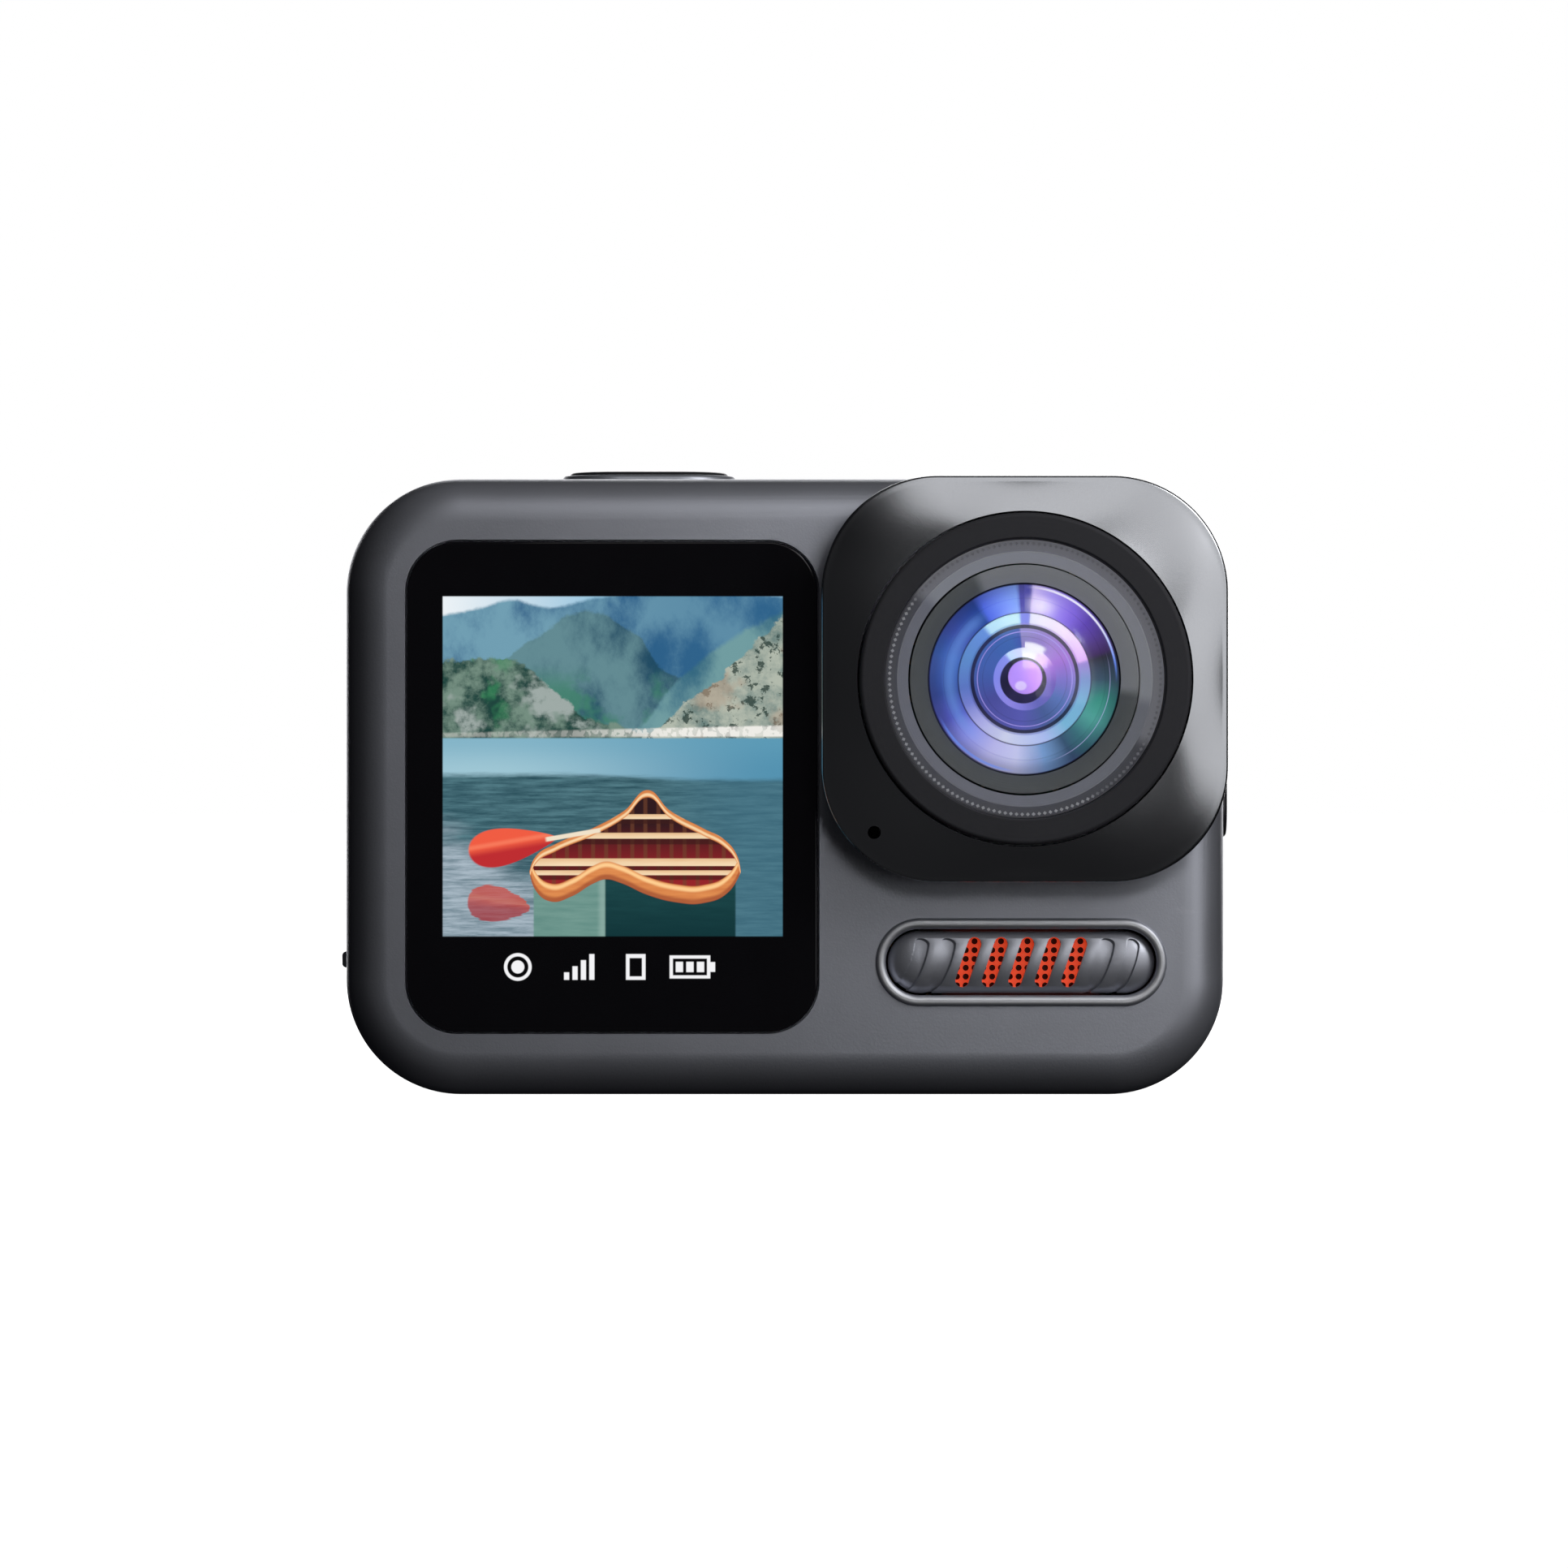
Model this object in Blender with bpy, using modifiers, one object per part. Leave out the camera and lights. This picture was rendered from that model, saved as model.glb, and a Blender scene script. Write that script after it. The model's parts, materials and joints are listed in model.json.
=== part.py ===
"""An action camera with a front and a rear display, built as the pieces it comes apart into.

The camera stands on its base: +Z is up, the front faces -Y, and the origin is the middle of the base.
Sizes and places are in millimetres and become metres when a mesh is made. Depths are counted from the
front face, backwards, so the parts in front of that face have negative depths.
"""

import math

import bmesh
import bpy
from mathutils import Matrix, Vector

MM = 0.001

# Body
BODY_WIDTH = 65.0
BODY_HEIGHT = 45.6
BODY_DEPTH = 24.0
BODY_CORNER = 8.5
FRONT_FILLET = 3.2
BACK_FILLET = 2.0
MODULE_RISE = 6.0  # the lens collar stands this far in front of the front face
FRONT_Y = (BODY_DEPTH + MODULE_RISE) / 2 - BODY_DEPTH
LEFT, RIGHT = -BODY_WIDTH / 2, BODY_WIDTH / 2
SEAM = 0.15  # a visible gap between two pieces
GAP = 0.3  # a hidden gap between two pieces
SPLIT_DEPTH = 20.0  # where the front shell ends and the rear cover starts

# Cavity of the shells
CAVITY_X = (-29.4, 30.4)
CAVITY_Z = (2.8, 44.1)
CAVITY_FRONT = 1.8
CAVITY_CORNER = 7.0
BOSS_RADIUS = 2.8
SCREW_X, SCREW_Z = 27.8, (4.7, 40.9)
SCREW_HOLE = 0.75

# Displays
GLASS_X, GLASS_Z = (-27.87, 2.41), (4.7, 40.88)
GLASS_THICK = 0.9
GLASS_CORNER = 3.7
LCD_X, LCD_Z = (-26.06, 0.54), (8.2, 37.8)
REAR_GLASS_X, REAR_GLASS_Z = (-26.0, 26.0), (4.8, 40.8)
REAR_LCD_X, REAR_LCD_Z = (-22.3, 22.3), (7.7, 37.8)

# Lens module, square with its circle in the middle
MODULE_SIDE = 29.8
MODULE_CORNER = 8.5
PEDESTAL_RISE = 1.2
LENS_X, LENS_Z = RIGHT - MODULE_SIDE / 2, BODY_HEIGHT - MODULE_SIDE / 2
BEZEL_EDGE_RISE = 4.3
BEZEL_TOP_RISE = 5.4
BEZEL_BORE = 12.3
COLLAR_OUTER, COLLAR_INNER = 12.15, 10.25
COVER_GLASS_RADIUS = 10.1
BARREL_RADIUS = 8.4
LENS_RADIUS, LENS_APEX, LENS_RIM = 7.0, 4.3, 2.4  # the front element, and the rises of its middle and rim
MIC_X, MIC_Z = LENS_X - 11.05, LENS_Z - 11.25

# Speaker grille
GRILLE_X, GRILLE_Z = 17.45, 9.85
GRILLE_LENGTH, GRILLE_HEIGHT = 20.0, 4.9
RIM_LENGTH, RIM_HEIGHT = 21.3, 6.3
SLOT_COUNT, OPEN_SLOTS = 9, 5
SLOT_PITCH, SLOT_LENGTH, SLOT_WIDTH, SLOT_TILT = 1.955, 3.85, 1.0, math.radians(18.8)

# Buttons: the shutter on top, the power key on the right
SHUTTER_X, SHUTTER_DEPTH = -10.2, 11.5
SHUTTER_LENGTH, SHUTTER_WIDTH = 12.0, 7.6
SHUTTER_RIM, SHUTTER_TOP = 0.5, 0.75
POWER_Z, POWER_DEPTH = 25.0, 12.0
POWER_LENGTH, POWER_WIDTH = 12.0, 4.4
SIDE_PROUD = 0.65  # how far the power key and the lip of the side door stand out

# Side door over the sockets, hinged at its top
DOOR_DEPTH = (7.45, 18.95)
DOOR_Z = (9.15, 32.9)
PORT_RECESS_X = -30.7
PORT_PIN_X, PORT_PIN_Z = -31.65, 33.7
USB_Z, HDMI_Z, CARD_Z = 15.2, 26.4, 17.6

# Bottom door over the battery, hinged at its rear edge
BAY_X, BAY_DEPTH = (-22.6, 7.0), (4.0, 15.0)
LID_X, LID_DEPTH, LID_Z = (-23.5, 7.9), (3.45, 15.45), (0.05, 1.25)
LID_RECESS = 1.7
LID_SWING = 0.45  # the gap behind the door, which lets its upper edge swing past the shell
LID_PIN_DEPTH, LID_PIN_Z = 17.1, 0.95
LID_KNUCKLES = ((-20.0, -15.0), (-1.0, 4.0))
LATCH_X, LATCH_DEPTH = (-10.8, -4.8), (5.5, 7.9)
LATCH_TRAVEL = 1.5

# Tripod socket, for a quarter-inch camera thread
SOCKET_X, SOCKET_DEPTH = 17.5, 10.2
SOCKET_RADIUS, NUT_RADIUS, NUT_TOP = 3.175, 4.6, 7.0

# Boards
BOARD_DEPTH = (16.0, 16.8)

ROUND_STEPS = 32
TINY = 1e-6
TURN_TO = {"X": (0, math.pi / 2, 0), "Y": (math.pi / 2, 0, 0), "Z": (0, 0, 0)}

# Finishes: colour, roughness and metallic value
FINISHES = {
    "shell_plastic": ((0.105, 0.108, 0.122), 0.42, 0.0),
    "bezel_gloss": ((0.03, 0.03, 0.033), 0.18, 0.3),
    "black_plastic": ((0.02, 0.02, 0.022), 0.45, 0.0),
    "display_glass": ((0.008, 0.008, 0.009), 0.06, 0.0),
    "display_panel": ((0.08, 0.2, 0.26), 0.3, 0.0),
    "clear_glass": ((0.8, 0.85, 0.9), 0.03, 0.0),
    "coated_glass": ((0.08, 0.1, 0.45), 0.05, 0.4),
    "grille_orange": ((0.75, 0.07, 0.02), 0.5, 0.0),
    "rubber_seal": ((0.03, 0.03, 0.03), 0.8, 0.0),
    "steel": ((0.55, 0.55, 0.56), 0.35, 1.0),
    "brass": ((0.7, 0.5, 0.2), 0.35, 1.0),
    "circuit_board": ((0.01, 0.09, 0.04), 0.5, 0.0),
    "ribbon_film": ((0.35, 0.13, 0.02), 0.4, 0.0),
    "battery_wrap": ((0.05, 0.07, 0.12), 0.4, 0.0),
}


# ---------------------------------------------------------------- scene and materials
def clear_scene():
    for obj in list(bpy.data.objects):
        bpy.data.objects.remove(obj, do_unlink=True)


def new_collection(name, parent, hidden=False):
    made = bpy.data.collections.new(name)
    parent.children.link(made)
    made.hide_render = hidden
    return made


def new_material(piece, finish):
    """A piece's own material, with the values of one of the finishes."""
    colour, roughness, metallic = FINISHES[finish]
    made = bpy.data.materials.new(f"{piece}_{finish}")
    made.use_nodes = True
    shader = made.node_tree.nodes["Principled BSDF"]
    shader.inputs["Base Color"].default_value = (*colour, 1.0)
    shader.inputs["Roughness"].default_value = roughness
    shader.inputs["Metallic"].default_value = metallic
    return made


clear_scene()
CAMERA = new_collection("action_camera", bpy.context.scene.collection)
CUTTERS = new_collection("cutters", bpy.context.scene.collection, hidden=True)


def place(name, shape, finish=None, location=(0, 0, 0), rotation=(0, 0, 0)):
    """Links a mesh or a curve as a piece of the camera, or as a cutter where it has no finish."""
    obj = bpy.data.objects.new(name, shape)
    obj.location = Vector(location) * MM
    obj.rotation_euler = rotation
    if finish is None:
        CUTTERS.objects.link(obj)
        obj.hide_render = True
        obj.display_type = "WIRE"
    else:
        CAMERA.objects.link(obj)
        shape.materials.append(new_material(name, finish))
    return obj


def shade(mesh):
    mesh.shade_smooth()
    mesh.set_sharp_from_angle(angle=math.radians(35))


def at_depth(depth):
    return FRONT_Y + depth


def depths(low, high):
    """A span of depths as a span of Y."""
    return at_depth(low), at_depth(high)


def around(middle, length):
    return middle - length / 2, middle + length / 2


def grown(span, by):
    return span[0] - by, span[1] + by


# ---------------------------------------------------------------- shapes
def block(name, x, y, z, finish=None, axis="Y", corner=0.0, fillets=(0.0, 0.0), steps=(5, 3)):
    """A box over three spans. Its edges along axis are rounded to corner, its two ends to fillets."""
    spans = (x, y, z)
    size = Vector([high - low for low, high in spans]) * MM
    middle = Vector([(low + high) / 2 for low, high in spans])
    k = "XYZ".index(axis)
    bm = bmesh.new()
    bmesh.ops.create_cube(bm, size=1.0, matrix=Matrix.Diagonal((*size, 1.0)))
    if corner:
        sides = [e for e in bm.edges if abs(e.verts[0].co[k] - e.verts[1].co[k]) > TINY]
        bmesh.ops.bevel(
            bm, geom=sides, offset=corner * MM, segments=steps[0], profile=0.5, affect="EDGES"
        )
        bmesh.ops.remove_doubles(bm, verts=bm.verts, dist=0.01 * MM)
    for level, fillet in zip((-size[k] / 2, size[k] / 2), fillets):
        if fillet:
            rim = [e for e in bm.edges if all(abs(v.co[k] - level) < TINY for v in e.verts)]
            bmesh.ops.bevel(
                bm, geom=rim, offset=fillet * MM, segments=steps[1], profile=0.5, affect="EDGES"
            )
    mesh = bpy.data.meshes.new(name)
    bm.to_mesh(mesh)
    bm.free()
    shade(mesh)
    return place(name, mesh, finish, middle)


def pill(name, x, y, z, finish=None, axis="Y", fillets=(0.0, 0.0), steps=(8, 2)):
    """A block whose ends are round, as wide as its shorter side across the axis."""
    across = [high - low for k, (low, high) in enumerate((x, y, z)) if k != "XYZ".index(axis)]
    return block(name, x, y, z, finish, axis, min(across) / 2, fillets, steps)


def cylinder(name, middle, radius, length, finish=None, axis="Y", steps=16):
    bm = bmesh.new()
    bmesh.ops.create_cone(
        bm, cap_ends=True, segments=steps, radius1=radius * MM, radius2=radius * MM, depth=length * MM
    )
    mesh = bpy.data.meshes.new(name)
    bm.to_mesh(mesh)
    bm.free()
    shade(mesh)
    return place(name, mesh, finish, middle, TURN_TO[axis])


def turned(name, profile, finish, closed=True, steps=ROUND_STEPS, middle=(LENS_X, LENS_Z)):
    """A piece turned about an axis that points forwards. The profile is (radius, rise) pairs, the rise
    counted from the front face, and it runs down the outer side."""
    mesh = bpy.data.meshes.new(name)
    points = [(radius * MM, 0.0, rise * MM) for radius, rise in profile]
    edges = [(k, k + 1) for k in range(len(points) - 1)]
    if closed:
        edges.append((len(points) - 1, 0))
    mesh.from_pydata(points, edges, [])
    obj = place(name, mesh, finish, (middle[0], FRONT_Y, middle[1]), (math.pi / 2, 0, 0))
    screw = obj.modifiers.new("turn", "SCREW")
    screw.steps = screw.render_steps = steps
    screw.use_merge_vertices = True
    screw.merge_threshold = 0.00001
    screw.use_smooth_shade = True
    return obj


def spring(name, middle, axis, radius, wire, length, turns, finish="steel"):
    """A coil along axis, centred on middle."""
    per_turn = 12
    count = turns * per_turn + 1
    curve = bpy.data.curves.new(name, "CURVE")
    curve.dimensions = "3D"
    curve.bevel_depth = wire * MM
    curve.bevel_resolution = 1
    curve.use_fill_caps = True
    line = curve.splines.new("POLY")
    line.points.add(count - 1)
    for k in range(count):
        angle = 2 * math.pi * k / per_turn
        along = (k / (count - 1) - 0.5) * (length - 2 * wire)
        point = (radius * math.cos(angle) * MM, radius * math.sin(angle) * MM, along * MM)
        line.points[k].co = (*point, 1.0)
    place(name, curve, finish, middle, TURN_TO[axis])


# ---------------------------------------------------------------- Booleans
def combine(obj, operation, tools):
    """One Boolean with several tools, which stay in a collection of their own."""
    holder = new_collection(f"{obj.name}_{operation.lower()}_{len(obj.modifiers)}", CUTTERS, hidden=True)
    for tool in tools:
        CUTTERS.objects.unlink(tool)
        holder.objects.link(tool)
    modifier = obj.modifiers.new(operation.lower(), "BOOLEAN")
    modifier.operation = operation
    modifier.operand_type = "COLLECTION"
    modifier.collection = holder
    modifier.solver = "EXACT"
    return obj


def cut(obj, *tools):
    return combine(obj, "DIFFERENCE", tools)


def join(obj, *tools):
    return combine(obj, "UNION", tools)


def pivot(name, x, depth, z, *pieces):
    """An empty on a joint's axis, which carries the pieces that move."""
    empty = bpy.data.objects.new(name, None)
    empty.empty_display_size = 5 * MM
    empty.location = Vector((x, at_depth(depth), z)) * MM
    CAMERA.objects.link(empty)
    bpy.context.view_layer.update()
    for piece in pieces:
        piece.parent = empty
        piece.matrix_parent_inverse = empty.matrix_world.inverted()


# ---------------------------------------------------------------- shells
def corner_bosses(name, low, high):
    return [
        cylinder(
            f"{name}_boss_{k}", (x, (low + high) / 2, z), BOSS_RADIUS, high - low, steps=20
        )
        for k, (x, z) in enumerate((x, z) for x in (-SCREW_X, SCREW_X) for z in SCREW_Z)
    ]


def corner_holes(name, radius, low, high):
    return [
        cylinder(f"{name}_{k}", (x, (low + high) / 2, z), radius, high - low, steps=12)
        for k, (x, z) in enumerate((x, z) for x in (-SCREW_X, SCREW_X) for z in SCREW_Z)
    ]


def front_shell():
    """The deep front housing, with its windows, recesses and bosses."""
    wall_front = at_depth(CAVITY_FRONT)
    through = depths(-2.0, CAVITY_FRONT + 1.0)
    shell = block(
        "front_shell",
        (LEFT, RIGHT),
        depths(0, SPLIT_DEPTH),
        (0, BODY_HEIGHT),
        "shell_plastic",
        corner=BODY_CORNER,
        fillets=(FRONT_FILLET, 0),
        steps=(7, 4),
    )
    join(
        shell,
        block(
            "pedestal",
            (RIGHT - MODULE_SIDE, RIGHT),
            depths(-PEDESTAL_RISE, 5.0),
            (BODY_HEIGHT - MODULE_SIDE, BODY_HEIGHT),
            corner=MODULE_CORNER,
            steps=(7, 1),
        ),
        pill(
            "grille_rim",
            around(GRILLE_X, RIM_LENGTH),
            depths(-0.35, 0.6),
            around(GRILLE_Z, RIM_HEIGHT),
            fillets=(0.3, 0),
        ),
        pill(
            "shutter_rim",
            around(SHUTTER_X, SHUTTER_LENGTH + 1.0),
            around(at_depth(SHUTTER_DEPTH), SHUTTER_WIDTH + 1.0),
            (BODY_HEIGHT - 0.8, BODY_HEIGHT + SHUTTER_RIM),
            axis="Z",
            fillets=(0, 0.15),
        ),
    )
    cut(
        shell,
        block(
            "cavity",
            CAVITY_X,
            (wall_front, at_depth(SPLIT_DEPTH + 2)),
            CAVITY_Z,
            corner=CAVITY_CORNER,
        ),
    )
    socket_y = at_depth(SOCKET_DEPTH)
    join(
        shell,
        *corner_bosses("front", at_depth(2.3), at_depth(SPLIT_DEPTH)),
        cylinder("socket_boss", (SOCKET_X, socket_y, 4.6), 5.6, 5.2, axis="Z", steps=28),
    )
    cut(
        shell,
        block(
            "glass_pocket",
            grown(GLASS_X, SEAM),
            depths(-1.0, GLASS_THICK + SEAM),
            grown(GLASS_Z, SEAM),
            corner=GLASS_CORNER + SEAM,
        ),
        block("lcd_window", grown(LCD_X, GAP), through, grown(LCD_Z, GAP)),
        cylinder("lens_hole", (LENS_X, at_depth(0), LENS_Z), 9.0, 8.0, steps=ROUND_STEPS),
        pill(
            "grille_hole", around(GRILLE_X, GRILLE_LENGTH), through, around(GRILLE_Z, GRILLE_HEIGHT)
        ),
        cylinder("mic_hole", (MIC_X, at_depth(0), MIC_Z), 0.5, 8.0, steps=10),
        pill(
            "shutter_hole",
            around(SHUTTER_X, SHUTTER_LENGTH + 2 * SEAM),
            around(at_depth(SHUTTER_DEPTH), SHUTTER_WIDTH + 2 * SEAM),
            (CAVITY_Z[1] - 1.0, BODY_HEIGHT + 1.0),
            axis="Z",
        ),
        pill(
            "power_hole",
            (CAVITY_X[1] - 1.0, RIGHT + 1.0),
            around(at_depth(POWER_DEPTH), POWER_WIDTH + 2 * SEAM),
            around(POWER_Z, POWER_LENGTH + 2 * SEAM),
            axis="X",
        ),
        block(
            "port_recess",
            (LEFT - 1.0, PORT_RECESS_X),
            depths(*grown(DOOR_DEPTH, SEAM)),
            (DOOR_Z[0] - SEAM, 35.0),
            axis="X",
            corner=1.2,
            steps=(3, 1),
        ),
        socket_mouth("usb_mouth", (12.25, 15.81), around(USB_Z, 9.24), 1.5),
        socket_mouth("hdmi_mouth", (12.45, 15.75), around(HDMI_Z, 6.9), 0.3),
        socket_mouth("card_mouth", (16.95, 18.65), around(CARD_Z, 13.3), 0.2),
        cylinder("port_pin_hole", (PORT_PIN_X, at_depth(13.2), PORT_PIN_Z), 0.6, 14.6, steps=10),
        block(
            "lid_recess",
            grown(LID_X, SEAM),
            depths(LID_DEPTH[0] - SEAM, LID_DEPTH[1] + LID_SWING),
            (-1.0, LID_RECESS),
            axis="Z",
            corner=1.0,
            steps=(3, 1),
        ),
        block("bay_mouth", BAY_X, depths(*BAY_DEPTH), (1.0, CAVITY_Z[0] + 1.0)),
        *[
            block(f"knuckle_pocket_{k}", grown(span, SEAM), depths(15.6, 18.2), (-1.0, 2.0))
            for k, span in enumerate(LID_KNUCKLES)
        ],
        cylinder("lid_pin_hole", (-7.8, at_depth(LID_PIN_DEPTH), LID_PIN_Z), 0.6, 29.6, axis="X", steps=10),
        block("latch_notch", (-11.1, -4.5), depths(3.1, 4.4), (1.4, 2.6)),
        cylinder(
            "socket_hole", (SOCKET_X, socket_y, 4.0), NUT_RADIUS + SEAM, 10.0, axis="Z", steps=ROUND_STEPS
        ),
        *corner_holes("screw_hole", SCREW_HOLE, at_depth(13.0), at_depth(SPLIT_DEPTH + 1)),
    )
    return shell


def socket_mouth(name, depth, z, corner):
    return block(name, (-32.0, -28.4), depths(*depth), z, axis="X", corner=corner, steps=(2, 1))


def rear_cover():
    """The shallow rear housing that carries the touch display."""
    edges = (LEFT, RIGHT), (0, BODY_HEIGHT)
    start = SPLIT_DEPTH + SEAM
    cover = block(
        "rear_cover",
        edges[0],
        depths(start, BODY_DEPTH),
        edges[1],
        "shell_plastic",
        corner=BODY_CORNER,
        fillets=(0, BACK_FILLET),
        steps=(7, 3),
    )
    cut(
        cover,
        block("cover_cavity", CAVITY_X, depths(start - 1, 22.1), CAVITY_Z, corner=CAVITY_CORNER),
    )
    join(cover, *corner_bosses("cover", at_depth(start), at_depth(22.4)))
    cut(
        cover,
        block(
            "rear_pocket",
            grown(REAR_GLASS_X, SEAM),
            depths(BODY_DEPTH - GLASS_THICK - SEAM, BODY_DEPTH + 1),
            grown(REAR_GLASS_Z, SEAM),
            corner=4.0 + SEAM,
        ),
        block("rear_window", grown(REAR_LCD_X, GAP), depths(21.0, 25.0), grown(REAR_LCD_Z, GAP)),
        *corner_holes("cover_hole", SCREW_HOLE, at_depth(start - 1), at_depth(BODY_DEPTH + 1)),
        *corner_holes("counterbore", 1.3, at_depth(22.9), at_depth(BODY_DEPTH + 1)),
        seal_ring("seal_groove", 0.45, 1.15, (start - 0.5, start + 0.7)),
    )
    return cover


def seal_ring(name, outer_inset, inner_inset, depth, finish=None):
    """A ring that follows the body's outline, between two insets from it."""
    outlines = []
    for k, inset in enumerate((outer_inset, inner_inset)):
        outlines.append(
            block(
                name if k == 0 else f"{name}_inside",
                (LEFT + inset, RIGHT - inset),
                depths(depth[0] - k, depth[1] + k),
                (inset, BODY_HEIGHT - inset),
                finish if k == 0 else None,
                corner=BODY_CORNER - inset,
                steps=(4, 1),
            )
        )
    return cut(*outlines)


def case_screws():
    """Four small screws from the rear corners into the bosses of the front shell."""
    for k, (x, z) in enumerate((x, z) for x in (-SCREW_X, SCREW_X) for z in SCREW_Z):
        turned(
            f"case_screw_{k + 1}",
            [(0.0, -13.6), (0.6, -14.0), (0.6, -23.05), (1.15, -23.05), (1.15, -23.7), (0.0, -23.7)],
            "steel",
            closed=False,
            steps=14,
            middle=(x, z),
        )


# ---------------------------------------------------------------- displays
def front_display():
    block(
        "front_glass",
        GLASS_X,
        depths(0.0, GLASS_THICK),
        GLASS_Z,
        "display_glass",
        corner=GLASS_CORNER,
        fillets=(0.15, 0),
        steps=(8, 1),
    )
    block("front_lcd", LCD_X, depths(1.3, 3.1), LCD_Z, "display_panel", corner=0.3, steps=(1, 1))
    ribbon(
        "front_display_ribbon",
        [(0.84, 2.3), (8.25, 2.3), (8.25, 15.6), (8.05, 15.6), (8.05, 2.5), (0.84, 2.5)],
        (27.0, 31.0),
    )


def rear_display():
    block(
        "rear_glass",
        REAR_GLASS_X,
        depths(BODY_DEPTH - GLASS_THICK, BODY_DEPTH),
        REAR_GLASS_Z,
        "display_glass",
        corner=4.0,
        fillets=(0, 0.15),
        steps=(8, 1),
    )
    block("rear_lcd", REAR_LCD_X, depths(20.9, 22.8), REAR_LCD_Z, "display_panel", corner=0.3, steps=(1, 1))


def ribbon(name, outline, z):
    """A flat cable seen from above: a closed (x, depth) outline over a span of heights."""
    curve = bpy.data.curves.new(name, "CURVE")
    curve.dimensions = "2D"
    curve.fill_mode = "BOTH"
    curve.extrude = (z[1] - z[0]) / 2 * MM
    line = curve.splines.new("POLY")
    line.points.add(len(outline) - 1)
    line.use_cyclic_u = True
    for point, (x, depth) in zip(line.points, outline):
        point.co = (x * MM, at_depth(depth) * MM, 0.0, 1.0)
    place(name, curve, "ribbon_film", (0, 0, sum(z) / 2))


# ---------------------------------------------------------------- lens module
def square_reach(angle, half, corner):
    """How far a rounded square reaches from its middle in one direction."""
    c, s = abs(math.cos(angle)), abs(math.sin(angle))
    reach = half / max(c, s)
    inner = half - corner
    if min(c, s) * reach > inner:
        along = inner * (c + s)
        reach = along + math.sqrt(along**2 - 2 * inner**2 + corner**2)
    return reach


def lens_bezel():
    """The square cover around the lens: a rounded square at its edge, which slopes up to a circle."""
    directions = 72
    half, corner = MODULE_SIDE / 2, MODULE_CORNER
    foot = PEDESTAL_RISE + SEAM
    rings = (
        (half, corner, foot),
        (half, corner, BEZEL_EDGE_RISE - 0.25),
        (half - 0.2, corner - 0.2, BEZEL_EDGE_RISE),
        (BEZEL_BORE, BEZEL_BORE, BEZEL_TOP_RISE),
        (BEZEL_BORE, BEZEL_BORE, foot),
    )
    bm = bmesh.new()
    loops = []
    for reach, radius, rise in rings:
        loop = []
        for k in range(directions):
            angle = 2 * math.pi * k / directions
            r = square_reach(angle, reach, radius) * MM
            loop.append(bm.verts.new((r * math.cos(angle), r * math.sin(angle), rise * MM)))
        loops.append(loop)
    for below, above in zip(loops, loops[1:] + loops[:1]):
        for k in range(directions):
            after = (k + 1) % directions
            bm.faces.new((below[k], below[after], above[after], above[k]))
    bmesh.ops.recalc_face_normals(bm, faces=bm.faces)
    mesh = bpy.data.meshes.new("lens_bezel")
    bm.to_mesh(mesh)
    bm.free()
    shade(mesh)
    bezel = place("lens_bezel", mesh, "bezel_gloss", (LENS_X, FRONT_Y, LENS_Z), (math.pi / 2, 0, 0))
    cut(bezel, cylinder("bezel_mic_hole", (MIC_X, at_depth(-3), MIC_Z), 0.48, 6.0, steps=12))


def lens_rings():
    foot = PEDESTAL_RISE + SEAM
    turned(
        "lens_collar",
        [
            (COLLAR_OUTER - 0.25, MODULE_RISE),
            (COLLAR_OUTER, MODULE_RISE - 0.25),
            (COLLAR_OUTER, foot),
            (COLLAR_INNER, foot),
            (COLLAR_INNER, MODULE_RISE),
        ],
        "black_plastic",
        steps=48,
    )
    turned(
        "lens_cover_glass",
        [(0.0, 5.65), (COVER_GLASS_RADIUS, 5.65), (COVER_GLASS_RADIUS, 4.95), (0.0, 4.95)],
        "clear_glass",
        closed=False,
        steps=40,
    )
    turned(
        "lens_trim_ring",
        [(10.1, 4.6), (10.1, foot), (8.55, foot), (8.55, 3.6), (9.4, 4.25)],
        "black_plastic",
        steps=40,
    )
    turned(
        "lens_retaining_ring",
        [(8.4, 3.3), (8.4, 2.6), (7.1, 2.6), (7.1, 3.0)],
        "black_plastic",
        steps=36,
    )


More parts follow.
